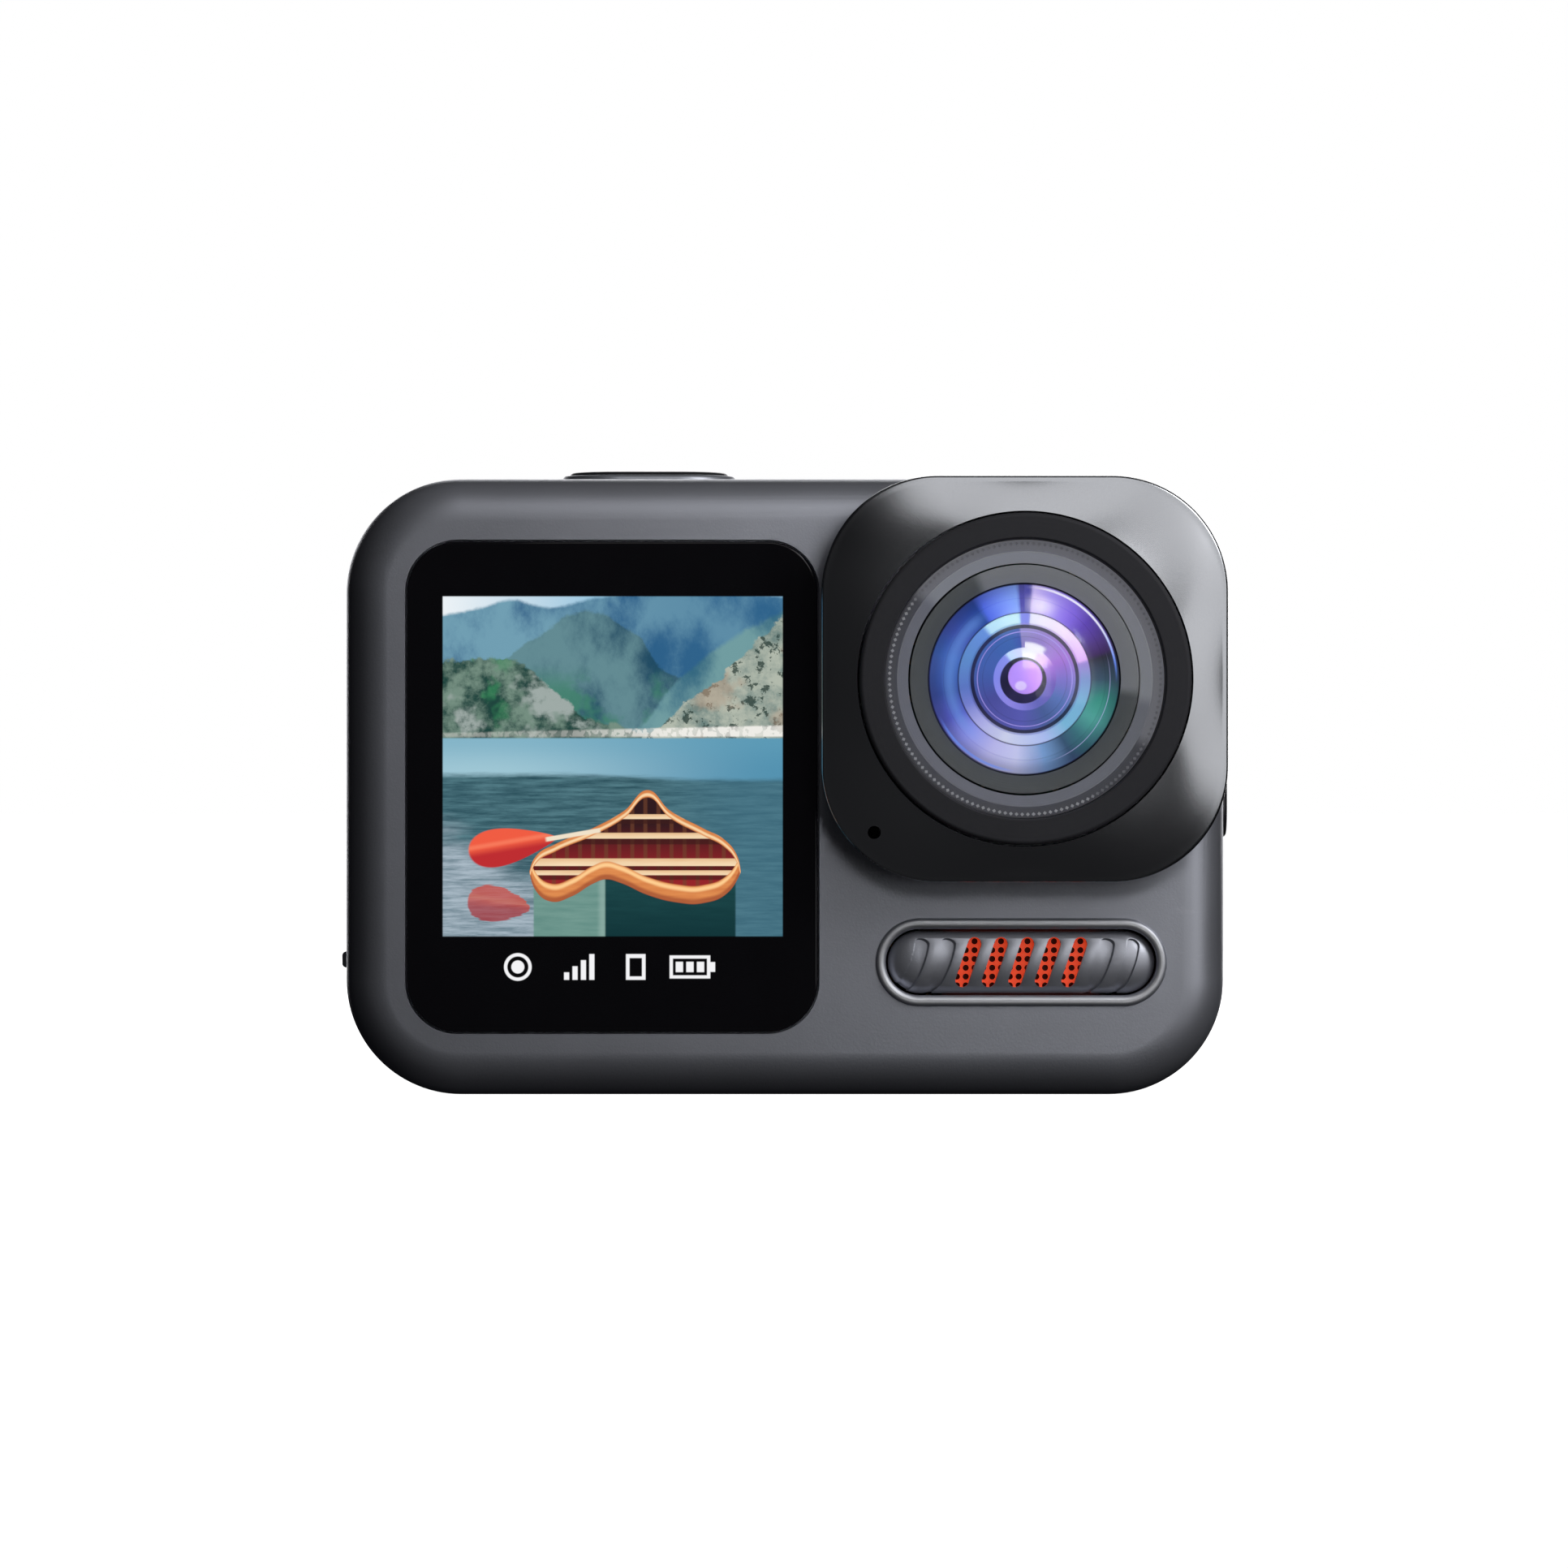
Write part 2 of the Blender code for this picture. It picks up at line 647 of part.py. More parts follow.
def lens_barrel():
    """The threaded barrel that holds the glass, and the holder that carries it on the sensor board."""
    turned(
        "lens_barrel",
        [
            (BARREL_RADIUS, 2.4),
            (BARREL_RADIUS, -2.6),
            (5.9, -2.6),
            (5.9, -10.2),
            (4.9, -10.2),
            (4.9, -1.6),
            (7.3, -1.6),
            (7.3, 2.4),
        ],
        "black_plastic",
    )
    turned(
        "lens_front_element",
        [
            *dome(LENS_RADIUS, LENS_APEX, LENS_RIM),
            (LENS_RADIUS, -1.0),
            (5.2, -1.0),
            (3.0, 0.2),
            (0.0, 0.7),
        ],
        "coated_glass",
        closed=False,
    )
    turned(
        "lens_middle_element",
        [(0.0, -3.0), (4.6, -3.6), (4.6, -5.4), (0.0, -4.8)],
        "clear_glass",
        closed=False,
        steps=24,
    )
    turned(
        "lens_rear_element",
        [(0.0, -6.8), (4.6, -7.6), (4.6, -9.2), (0.0, -9.8)],
        "clear_glass",
        closed=False,
        steps=24,
    )
    holder = turned(
        "lens_holder",
        [(7.6, -3.2), (7.6, -12.6), (6.15, -12.6), (6.15, -3.2)],
        "black_plastic",
    )
    side = around(LENS_X, 15.4)
    rise = around(LENS_Z, 15.4)
    join(holder, block("holder_base", side, depths(12.2, 14.4), rise, corner=1.0, steps=(2, 1)))
    cut(
        holder,
        block(
            "holder_inside",
            around(LENS_X, 10.4),
            depths(12.0, 15.0),
            around(LENS_Z, 10.4),
        ),
    )
    block("ir_filter", around(LENS_X, 9.8), depths(12.5, 12.8), around(LENS_Z, 9.8), "clear_glass")
    block("image_sensor", around(LENS_X, 8.4), depths(13.4, 14.4), around(LENS_Z, 8.4), "black_plastic")
    block("sensor_board", around(LENS_X, 16.0), depths(14.7, 15.5), around(LENS_Z, 16.0), "circuit_board")


def dome(radius, apex, rim, count=6):
    """The profile of a spherical cap, from its middle out to its rim."""
    drop = apex - rim
    sphere = (radius**2 + drop**2) / (2 * drop)
    across = [radius * k / (count - 1) for k in range(count)]
    return [(r, apex - sphere + math.sqrt(sphere**2 - r**2)) for r in across]


# ---------------------------------------------------------------- sound
def slot_row(name, numbers, depth, length=SLOT_LENGTH, width=SLOT_WIDTH):
    """Slanted round-ended slots of the grille, at these places in its row of nine."""
    made = []
    for k in numbers:
        x = GRILLE_X + (k - (SLOT_COUNT - 1) / 2) * SLOT_PITCH
        slot = pill(
            f"{name}_{k}", around(0, width), around(0, depth[1] - depth[0]), around(0, length), steps=(4, 1)
        )
        slot.location = Vector((x, at_depth(sum(depth) / 2), GRILLE_Z)) * MM
        slot.rotation_euler = (0, SLOT_TILT, 0)
        made.append(slot)
    return made


def speaker():
    first_open = (SLOT_COUNT - OPEN_SLOTS) // 2
    open_slots = range(first_open, first_open + OPEN_SLOTS)
    blind_slots = [k for k in range(SLOT_COUNT) if k not in open_slots]
    grille = pill(
        "speaker_grille",
        around(GRILLE_X, GRILLE_LENGTH - 2 * SEAM),
        depths(-0.3, 0.8),
        around(GRILLE_Z, GRILLE_HEIGHT - 2 * SEAM),
        "shell_plastic",
        fillets=(0.7, 0),
    )
    cut(
        grille,
        *slot_row("open_slot", open_slots, (-1.0, 2.0)),
        *slot_row("blind_slot", blind_slots, (-1.0, 0.2)),
    )
    block(
        "speaker_mesh",
        around(GRILLE_X, OPEN_SLOTS * SLOT_PITCH + 1.2),
        depths(0.9, 1.15),
        around(GRILLE_Z, 4.2),
        "grille_orange",
    )
    block(
        "speaker",
        around(GRILLE_X, 15.0),
        depths(2.0, 4.3),
        around(11.6, 9.0),
        "black_plastic",
        corner=3.0,
        steps=(4, 1),
    )
    cylinder("microphone", (MIC_X, at_depth(2.6), MIC_Z), 1.4, 1.0, "steel", steps=16)


# ---------------------------------------------------------------- buttons
def shutter_button():
    """The shutter cap, its return spring and its switch on a small board above the battery bay."""
    y = at_depth(SHUTTER_DEPTH)
    cap = pill(
        "shutter_button",
        around(SHUTTER_X, SHUTTER_LENGTH),
        around(y, SHUTTER_WIDTH),
        (43.4, BODY_HEIGHT + SHUTTER_TOP),
        "black_plastic",
        axis="Z",
        fillets=(0, 0.3),
    )
    join(
        cap,
        pill("shutter_flange", around(SHUTTER_X, 13.4), around(y, 9.0), (43.1, 43.8), axis="Z"),
        cylinder("shutter_stem", (SHUTTER_X, y, 42.6), 1.2, 1.8, axis="Z", steps=14),
    )
    block(
        "shutter_board", around(SHUTTER_X, 9.6), around(y, 8.6), (38.3, 39.0), "circuit_board", axis="Z"
    )
    block(
        "shutter_switch", around(SHUTTER_X, 4.2), around(y, 4.2), (39.2, 40.7), "black_plastic", axis="Z"
    )
    spring("shutter_spring", (SHUTTER_X, y, 41.05), "Z", 3.55, 0.25, 3.6, 3)
    pivot("shutter_axis", SHUTTER_X, SHUTTER_DEPTH, BODY_HEIGHT, cap)


def power_button():
    y = at_depth(POWER_DEPTH)
    cap = pill(
        "power_button",
        (30.0, RIGHT + SIDE_PROUD),
        around(y, POWER_WIDTH),
        around(POWER_Z, POWER_LENGTH),
        "black_plastic",
        axis="X",
        fillets=(0, 0.2),
    )
    join(
        cap,
        pill("power_flange", (29.5, 30.15), around(y, 5.8), around(POWER_Z, 13.4), axis="X"),
        cylinder("power_stem", (29.2, y, POWER_Z), 1.0, 1.2, axis="X", steps=14),
    )
    block("power_board", (25.6, 26.3), around(y, 6.0), around(POWER_Z, 12.0), "circuit_board", axis="X")
    block("power_switch", (26.6, 27.9), around(y, 3.4), around(POWER_Z, 3.4), "black_plastic", axis="X")
    spring("power_spring", (27.8, y, POWER_Z), "X", 2.75, 0.2, 2.3, 3)
    pivot("power_axis", RIGHT, POWER_DEPTH, POWER_Z, cap)


# ---------------------------------------------------------------- doors
def port_door():
    """The side door over the sockets. Its knuckle turns on a pin along its top edge."""
    door = block(
        "port_door",
        (LEFT, -31.4),
        depths(*DOOR_DEPTH),
        DOOR_Z,
        "shell_plastic",
        axis="X",
        corner=1.2,
        steps=(3, 1),
    )
    knuckle = (8.5, 17.9)
    join(
        door,
        block("port_arm", (LEFT, -31.4), depths(*knuckle), (32.0, PORT_PIN_Z)),
        cylinder("port_knuckle", (PORT_PIN_X, at_depth(13.2), PORT_PIN_Z), 0.85, 9.4, steps=16),
        block(
            "port_lip",
            (LEFT - SIDE_PROUD, LEFT + 0.5),
            depths(9.6, 16.8),
            (DOOR_Z[0] + 0.1, DOOR_Z[0] + 1.3),
            axis="Y",
            corner=0.3,
            steps=(2, 1),
        ),
    )
    cut(door, cylinder("port_knuckle_hole", (PORT_PIN_X, at_depth(13.2), PORT_PIN_Z), 0.55, 12.0, steps=12))
    cylinder("port_door_pin", (PORT_PIN_X, at_depth(13.0), PORT_PIN_Z), 0.45, 13.6, "steel", steps=12)
    seal = block(
        "port_door_seal",
        (-31.3, -30.85),
        depths(8.2, 18.3),
        (9.9, 31.5),
        "rubber_seal",
        axis="X",
        corner=0.8,
        steps=(2, 1),
    )
    cut(seal, block("seal_inside", (-33.0, -29.0), depths(9.2, 17.3), (10.9, 30.5)))
    pivot("port_door_axis", PORT_PIN_X, 13.2, PORT_PIN_Z, door, seal)


def battery_door():
    """The bottom door, hinged at its rear edge, with the slider that releases it."""
    y = at_depth(LID_PIN_DEPTH)
    door = block(
        "battery_door",
        LID_X,
        depths(*LID_DEPTH),
        LID_Z,
        "shell_plastic",
        axis="Z",
        corner=0.9,
        steps=(3, 1),
    )
    join(
        door,
        *[
            block(f"lid_arm_{k}", span, depths(15.0, LID_PIN_DEPTH), LID_Z)
            for k, span in enumerate(LID_KNUCKLES)
        ],
        *[
            cylinder(f"lid_knuckle_{k}", (sum(span) / 2, y, LID_PIN_Z), 0.9, 5.0, axis="X")
            for k, span in enumerate(LID_KNUCKLES)
        ],
    )
    cut(
        door,
        cylinder("lid_knuckle_hole", (-7.8, y, LID_PIN_Z), 0.55, 40.0, axis="X", steps=12),
        block(
            "latch_slot",
            grown(LATCH_X, SEAM),
            depths(LATCH_DEPTH[0] - SEAM, LATCH_DEPTH[1] + LATCH_TRAVEL + SEAM),
            (-1.0, 2.0),
            axis="Z",
            corner=0.5,
            steps=(2, 1),
        ),
    )
    cylinder("battery_door_pin", (-7.8, y, LID_PIN_Z), 0.45, 29.0, "steel", axis="X", steps=12)
    seal = block(
        "battery_door_seal",
        (-23.1, 7.5),
        depths(3.75, 15.35),
        (1.3, 1.55),
        "rubber_seal",
        axis="Z",
        corner=0.6,
        steps=(2, 1),
    )
    cut(seal, block("lid_seal_inside", (-22.3, 6.7), depths(4.4, 14.7), (0.0, 3.0)))
    latch = block(
        "battery_latch",
        LATCH_X,
        depths(*LATCH_DEPTH),
        (0.2, 1.9),
        "grille_orange",
        axis="Z",
        corner=0.4,
        steps=(2, 1),
    )
    join(latch, block("latch_plate", (-10.8, -4.8), depths(3.55, 9.0), (1.7, 2.25)))
    pivot("battery_door_axis", -7.8, LID_PIN_DEPTH, LID_PIN_Z, door, seal, latch)


# ---------------------------------------------------------------- inside
def battery():
    bay_outer = (-23.3, 7.7), depths(3.4, 15.6), (3.1, 37.9)
    bay = block("battery_bay", *bay_outer, "black_plastic", axis="Z")
    cut(bay, block("bay_inside", BAY_X, depths(*BAY_DEPTH), (2.0, 37.2)))
    block(
        "battery",
        (BAY_X[0] + GAP, BAY_X[1] - GAP),
        depths(BAY_DEPTH[0] + GAP, BAY_DEPTH[1] - GAP),
        (3.1, 35.9),
        "battery_wrap",
        axis="Z",
        corner=1.2,
        steps=(3, 1),
    )
    block("battery_contacts", (-4.0, 4.0), depths(7.0, 12.0), (36.2, 36.9), "brass", axis="Z")


def boards():
    block("main_board", (-24.7, 24.7), depths(*BOARD_DEPTH), (3.4, 42.9), "circuit_board")
    block("processor", (-2.0, 10.0), depths(17.1, 18.3), (18.0, 30.0), "black_plastic")
    block("heat_spreader", (-6.0, 20.0), depths(18.7, 19.1), (12.0, 36.0), "steel")
    block("card_slot", (-30.4, -16.0), depths(17.1, 18.5), around(CARD_Z, 12.6), "steel")
    usb = block(
        "usb_socket",
        (-30.5, -24.0),
        depths(12.4, 15.66),
        around(USB_Z, 8.94),
        "steel",
        axis="X",
        corner=1.4,
        steps=(3, 1),
    )
    cut(usb, hollow("usb_hollow", (12.75, 15.31), around(USB_Z, 8.24), 1.1))
    join(usb, block("usb_tongue", (-29.8, -25.0), depths(13.7, 14.36), around(USB_Z, 6.6)))
    hdmi = block("hdmi_socket", (-30.5, -24.0), depths(12.6, 15.6), around(HDMI_Z, 6.6), "steel", axis="X")
    cut(hdmi, hollow("hdmi_hollow", (12.9, 15.3), around(HDMI_Z, 6.0), 0.2))
    block("wifi_antenna", (3.5, 20.0), depths(8.0, 13.0), (43.2, 43.6), "brass", axis="Z")


def hollow(name, depth, z, corner):
    return block(name, (-32.0, -25.2), depths(*depth), z, axis="X", corner=corner, steps=(2, 1))


def tripod_nut():
    """The threaded insert in the base."""
    turned_nut = cylinder(
        "tripod_nut",
        (SOCKET_X, at_depth(SOCKET_DEPTH), (NUT_TOP + 0.1) / 2),
        NUT_RADIUS,
        NUT_TOP - 0.1,
        "brass",
        axis="Z",
        steps=28,
    )
    cut(
        turned_nut,
        cylinder("nut_bore", (SOCKET_X, at_depth(SOCKET_DEPTH), 2.6), SOCKET_RADIUS, 8.0, axis="Z", steps=28),
    )


def main():
    front_shell()
    rear_cover()
    seal_ring("body_seal", 0.55, 1.05, (SPLIT_DEPTH + 0.2, SPLIT_DEPTH + 0.75), "rubber_seal")
    case_screws()
    front_display()
    rear_display()
    lens_bezel()
    lens_rings()
    lens_barrel()
    speaker()
    shutter_button()
    power_button()
    port_door()
    battery_door()
    battery()
    boards()
    tripod_nut()


main()
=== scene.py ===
"""The looks of an action camera with a front and a rear display.

The sizes come from the CAD frame. Lengths are in millimetres and become metres when a mesh is made.
The camera stands on its base, +Z is up, and the lens side faces -Y.
"""

import json
import math

import bmesh
import bpy
from mathutils import Matrix, Vector

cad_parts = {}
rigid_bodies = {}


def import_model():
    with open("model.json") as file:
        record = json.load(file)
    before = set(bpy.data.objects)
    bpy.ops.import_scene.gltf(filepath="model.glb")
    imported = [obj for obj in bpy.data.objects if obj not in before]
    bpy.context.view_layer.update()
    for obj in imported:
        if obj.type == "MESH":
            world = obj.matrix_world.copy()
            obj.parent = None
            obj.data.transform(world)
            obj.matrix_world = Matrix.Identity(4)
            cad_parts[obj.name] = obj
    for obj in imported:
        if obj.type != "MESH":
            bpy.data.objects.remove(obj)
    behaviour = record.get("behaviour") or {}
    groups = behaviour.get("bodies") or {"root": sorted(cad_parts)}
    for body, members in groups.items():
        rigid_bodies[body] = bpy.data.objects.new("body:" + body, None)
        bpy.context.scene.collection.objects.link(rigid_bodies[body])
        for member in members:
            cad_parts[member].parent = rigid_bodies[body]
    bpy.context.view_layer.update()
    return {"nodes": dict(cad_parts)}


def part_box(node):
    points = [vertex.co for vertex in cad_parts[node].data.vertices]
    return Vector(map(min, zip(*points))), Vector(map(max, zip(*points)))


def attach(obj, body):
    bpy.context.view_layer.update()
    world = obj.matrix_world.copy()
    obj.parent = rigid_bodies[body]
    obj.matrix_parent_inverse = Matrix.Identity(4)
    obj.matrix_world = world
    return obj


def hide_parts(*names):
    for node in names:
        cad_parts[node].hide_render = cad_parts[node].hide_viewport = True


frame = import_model()

MM = 0.001
TINY = 1e-6
TURN_TO = {"X": (0, math.pi / 2, 0), "Y": (math.pi / 2, 0, 0), "Z": (0, 0, 0)}


def span(node, axis):
    """How far a CAD node reaches along one axis, in millimetres."""
    low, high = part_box(node)
    k = "XYZ".index(axis)
    return low[k] / MM, high[k] / MM


def middle(node, axis):
    return sum(span(node, axis)) / 2


def length(node, axis):
    low, high = span(node, axis)
    return high - low


def box_of(node):
    return [span(node, axis) for axis in "XYZ"]


def middle_xy(node):
    """The X and Y of a node's middle."""
    return middle(node, "X"), middle(node, "Y")


# Body
LEFT, RIGHT = span("rear_cover", "X")
TOP = span("rear_cover", "Z")[1]
FRONT = span("front_glass", "Y")[0]
SPLIT = span("front_shell", "Y")[1]
BACK = span("rear_cover", "Y")[1]
CORNER, FRONT_FILLET, BACK_FILLET = 8.5, 3.2, 2.0
SEAM = span("rear_cover", "Y")[0] - SPLIT
GAP = 0.3
CAVITY_X, CAVITY_Z, CAVITY_CORNER = (-29.4, 30.4), (2.8, 44.1), 7.0
SCREW_POSTS = [(x, z) for x in (-27.8, 27.8) for z in (4.7, 40.9)]
LID_KNUCKLES = ((-20.0, -15.0), (-1.0, 4.0))

# Lens module
LENS_X, LENS_Z = middle("lens_collar", "X"), middle("lens_collar", "Z")
MODULE_SIDE = length("lens_bezel", "X")
PEDESTAL_RISE = FRONT - span("lens_bezel", "Y")[1] - SEAM
BEZEL_EDGE, BEZEL_TOP = 4.3, FRONT - span("lens_bezel", "Y")[0]
BEZEL_BORE = 12.3
COLLAR_RADIUS, COLLAR_BORE, TRIM_RADIUS = length("lens_collar", "X") / 2, 10.25, 10.2
BAND_EDGE = 9.34
LENS_RADIUS = length("lens_front_element", "X") / 2
MIC_X, MIC_Z = middle("microphone", "X"), middle("microphone", "Z")

# Picture area of the front display
PICTURE_SIDE = 25.08
PICTURE_X, PICTURE_Z = middle("front_glass", "X") + 0.03, 24.3

# Speaker grille
GRILLE_X, GRILLE_Z = middle("speaker_grille", "X"), middle("speaker_grille", "Z")
GRILLE_LENGTH, GRILLE_HEIGHT, RIM_LENGTH, RIM_HEIGHT = 20.0, 4.9, 21.5, 6.5
SLOT_PITCH, SLOT_LENGTH, SLOT_WIDTH, SLOT_TILT = 1.955, 3.85, 1.0, math.radians(18.8)


def rise(height):
    """The Y of a height above the front face."""
    return FRONT - height


def deep(depth):
    """The Y of a depth behind the front face."""
    return FRONT + depth


def heights(node):
    """How far a node's back and front stand above the front face."""
    front, back = span(node, "Y")
    return FRONT - back, FRONT - front


# ================================================================ materials
class Wire:
    """A socket in a material's tree. Sums and products of wires add the nodes they need."""

    def __init__(self, finish, socket):
        self.finish, self.socket = finish, socket

    def math(self, operation, *values):
        inputs = dict(enumerate(values))
        return self.finish.add("ShaderNodeMath", {"operation": operation}, inputs)

    def __add__(self, other):
        return self.math("ADD", self, other)

    def __sub__(self, other):
        return self.math("SUBTRACT", self, other)

    def __rsub__(self, other):
        return self.math("SUBTRACT", other, self)

    def __mul__(self, other):
        return self.math("MULTIPLY", self, other)

    def __truediv__(self, other):
        return self.math("DIVIDE", self, other)

    def __rtruediv__(self, other):
        return self.math("DIVIDE", other, self)

    def __pow__(self, other):
        return self.math("POWER", self, other)

    def __abs__(self):
        return self.math("ABSOLUTE", self)

    def __mod__(self, other):
        return self.math("FLOORED_MODULO", self, other)

    __radd__, __rmul__ = __add__, __mul__

    def over(self, other, soft):
        """1 where this is larger than the other, 0 where it is smaller, over a soft edge."""
        inputs = {0: self - other, 1: -soft / 2, 2: soft / 2, 3: 0.0, 4: 1.0}
        return self.finish.add("ShaderNodeMapRange", {"interpolation_type": "SMOOTHSTEP"}, inputs)

    def under(self, other, soft):
        return 1 - self.over(other, soft)

    def near(self, other, width, soft):
        """1 within half a width of the other."""
        return abs(self - other).under(width / 2, soft)

    def larger(self, other):
        return self.math("MAXIMUM", self, other)


class Finish:
    """A material in the making. Constants go straight to the Principled shader's sockets."""

    def __init__(self, name, **constants):
        self.material = bpy.data.materials.new(name)
        self.material.use_nodes = True
        self.tree = self.material.node_tree
        self.shader = self.tree.nodes["Principled BSDF"]
        for socket, value in constants.items():
            self.put(socket.replace("_", " ").title().replace("Ior", "IOR"), value)

    def put(self, socket, value):
        self.fill(self.shader.inputs[socket], value)

    def fill(self, socket, value):
        if isinstance(value, Wire):
            self.tree.links.new(value.socket, socket)
        elif socket.type == "RGBA":
            socket.default_value = (*value, 1.0)[:4]
        else:
            socket.default_value = value

    def add(self, kind, settings=None, inputs=None, output=0):
        node = self.tree.nodes.new(kind)
        for key, value in (settings or {}).items():
            if key == "stops":
                self.set_stops(node.color_ramp, value)
            elif key == "points":
                self.set_points(node.mapping, value)
            else:
                setattr(node, key, value)
        for key, value in (inputs or {}).items():
            self.fill(node.inputs[key], value)
        return Wire(self, node.outputs[output])

    @staticmethod
    def set_stops(ramp, stops):
        while len(ramp.elements) < len(stops):
            ramp.elements.new(1.0)
        for element, (position, colour) in zip(ramp.elements, stops):
            element.position = position
            element.color = (*colour, 1.0)

    @staticmethod
    def set_points(mapping, points):
        curve = mapping.curves[0]
        while len(curve.points) < len(points):
            curve.points.new(0.5, 0.5)
        for point, where in zip(curve.points, points):
            point.location = where
        mapping.update()

    def place(self, x=0.0, y=0.0, z=0.0, turn=(0, 0, 0)):
        """Object coordinates in millimetres from a point."""
        source = self.add("ShaderNodeTexCoord", output=3)
        return self.add(
            "ShaderNodeMapping",
            {"vector_type": "POINT"},
            {0: source, 1: (-x, -y, -z), 2: turn, 3: (1 / MM, 1 / MM, 1 / MM)},
        )

    def parts(self, vector):
        first = self.add("ShaderNodeSeparateXYZ", None, {0: vector})
        return [Wire(self, socket) for socket in first.socket.node.outputs]

    def vector(self, x, y, z=0.0):
        return self.add("ShaderNodeCombineXYZ", None, {0: x, 1: y, 2: z})

    def stretch(self, vector, scale):
        settings = {"operation": "MULTIPLY"}
        return self.add("ShaderNodeVectorMath", settings, {0: vector, 1: scale})

    def noise(self, vector, scale, detail=3.0, roughness=0.5):
        inputs = {"Vector": vector, "Scale": scale, "Detail": detail, "Roughness": roughness}
        return self.add("ShaderNodeTexNoise", None, inputs)

    def cells(self, vector, scale, feature="F1", randomness=1.0):
        inputs = {"Vector": vector, "Scale": scale, "Randomness": randomness}
        return self.add("ShaderNodeTexVoronoi", {"feature": feature}, inputs)

    def ramp(self, factor, *stops):
        return self.add("ShaderNodeValToRGB", {"stops": stops}, {0: factor})

    def mix(self, first, second, factor, blend="MIX"):
        settings = {"data_type": "RGBA", "blend_type": blend}
        return self.add("ShaderNodeMix", settings, {0: factor, 6: first, 7: second}, output=2)

    def bump(self, height, distance, strength=1.0):
        """A bump of this many millimetres, wired to the shader's normal."""
        inputs = {"Strength": strength, "Distance": distance * MM, "Height": height}
        self.put("Normal", self.add("ShaderNodeBump", None, inputs))


def srgb(*levels):
    """A colour as a screen shows it, 0 to 255, as light."""
    return tuple(
        (c / 255 / 12.92) if c <= 10 else ((c / 255 + 0.055) / 1.055) ** 2.4 for c in levels
    )


def scaled(colour, k):
    return tuple(min(1.0, c * k) for c in colour)


def handling(made, where, grain):
    """Uneven gloss over broad areas, an etched grain, and faint rubbed marks."""
    broad = made.noise(where, 0.11, 4.0, 0.6)
    etched = made.noise(where, 1 / grain, 2.0, 0.6)
    marks = made.noise(made.stretch(where, (0.35, 1.4, 2.2)), 0.9, 5.0, 0.7)
    return broad, etched, marks.over(0.63, 0.12)


def moulded(name, colour, roughness, grain=0.16, relief=0.012, mottle=0.06, **constants):
    """Moulded plastic: an etched grain, uneven gloss and faint handling marks."""
    made = Finish(name, roughness=roughness, **constants)
    where = made.place()
    broad, etched, rubbed = handling(made, where, grain)
    tone = made.mix(scaled(colour, 1 - mottle), scaled(colour, 1 + mottle), broad)
    made.put("Base Color", made.mix(tone, scaled(colour, 1.35), rubbed * 0.25))
    made.put("Roughness", roughness - 0.05 + broad * 0.07 + etched * 0.05 - rubbed * 0.05)
    made.bump(etched, relief, 0.6)
    return made.material


def shell_plastic():
    """The metallic grey of the shells, with a painted highlight along the crest of the grille's rim."""
    made = Finish("shell_plastic", metallic=0.8)
    where = made.place()
    x, y, z = made.parts(where)
    broad, etched, rubbed = handling(made, where, 0.16)
    tone = made.mix((0.365, 0.376, 0.422), (0.395, 0.407, 0.457), broad)
    tone = made.mix(tone, (0.47, 0.48, 0.53), rubbed * 0.2)
    beyond = (abs(x - GRILLE_X) - (RIM_LENGTH - RIM_HEIGHT) / 2).larger(0.0)
    from_line = (beyond**2.0 + (z - GRILLE_Z) ** 2.0) ** 0.5
    # Painted highlight: a lighter colour along the crest of the grille's rim, which is also made rougher
    # there.
    crest = from_line.near((RIM_HEIGHT + GRILLE_HEIGHT) / 4, 0.36, 0.34)
    crest = crest * y.under(FRONT - 0.05, 0.15)
    made.put("Base Color", made.mix(tone, (0.66, 0.67, 0.7), crest))
    made.put("Roughness", 0.38 + broad * 0.07 + etched * 0.05 - rubbed * 0.04 + crest * 0.12)
    made.bump(etched, 0.012, 0.6)
    return made.material


def turned_metal(name, colour, roughness):
    """Machined metal with fine tool marks and a little tarnish."""
    made = Finish(name, metallic=1.0)
    where = made.place()
    streaks = made.noise(made.stretch(where, (0.6, 14.0, 0.6)), 1.2, 4.0, 0.6)
    tarnish = made.noise(where, 0.5, 4.0, 0.6)
    made.put("Base Color", made.mix(scaled(colour, 0.72), colour, tarnish))
    made.put("Roughness", roughness + streaks * 0.18 - 0.06)
    made.bump(streaks, 0.01, 0.4)
    return made.material


def rubber():
    made = Finish("seal_silicone", specular_ior_level=0.35)
    where = made.place()
    dust = made.noise(where, 0.8, 5.0, 0.65)
    made.put("Base Color", made.mix((0.018, 0.018, 0.019), (0.05, 0.05, 0.052), dust))
    made.put("Roughness", 0.72 + dust * 0.15)
    made.bump(made.noise(where, 5.0, 3.0), 0.01, 0.5)
    return made.material


def circuit_board():
    """Green solder mask over copper tracks, with rows of pads."""
    made = Finish("solder_mask", coat_weight=0.4, coat_roughness=0.2)
    where = made.place()
    x, _, z = made.parts(where)
    lanes = made.noise(made.vector(x * 0.25, 0.0, z * 2.2), 1.0, 0.0)
    tracks = ((lanes * 9) % 1).near(0.5, 0.34, 0.08)
    pads = made.cells(where, 0.75, randomness=0.35).under(0.2, 0.05)
    mask = made.mix((0.004, 0.045, 0.02), (0.01, 0.1, 0.045), tracks)
    made.put("Base Color", made.mix(mask, (0.62, 0.45, 0.16), pads))
    made.put("Metallic", pads)
    made.put("Roughness", 0.42 - pads * 0.12)
    made.bump(tracks + pads, 0.02, 0.5)
    return made.material


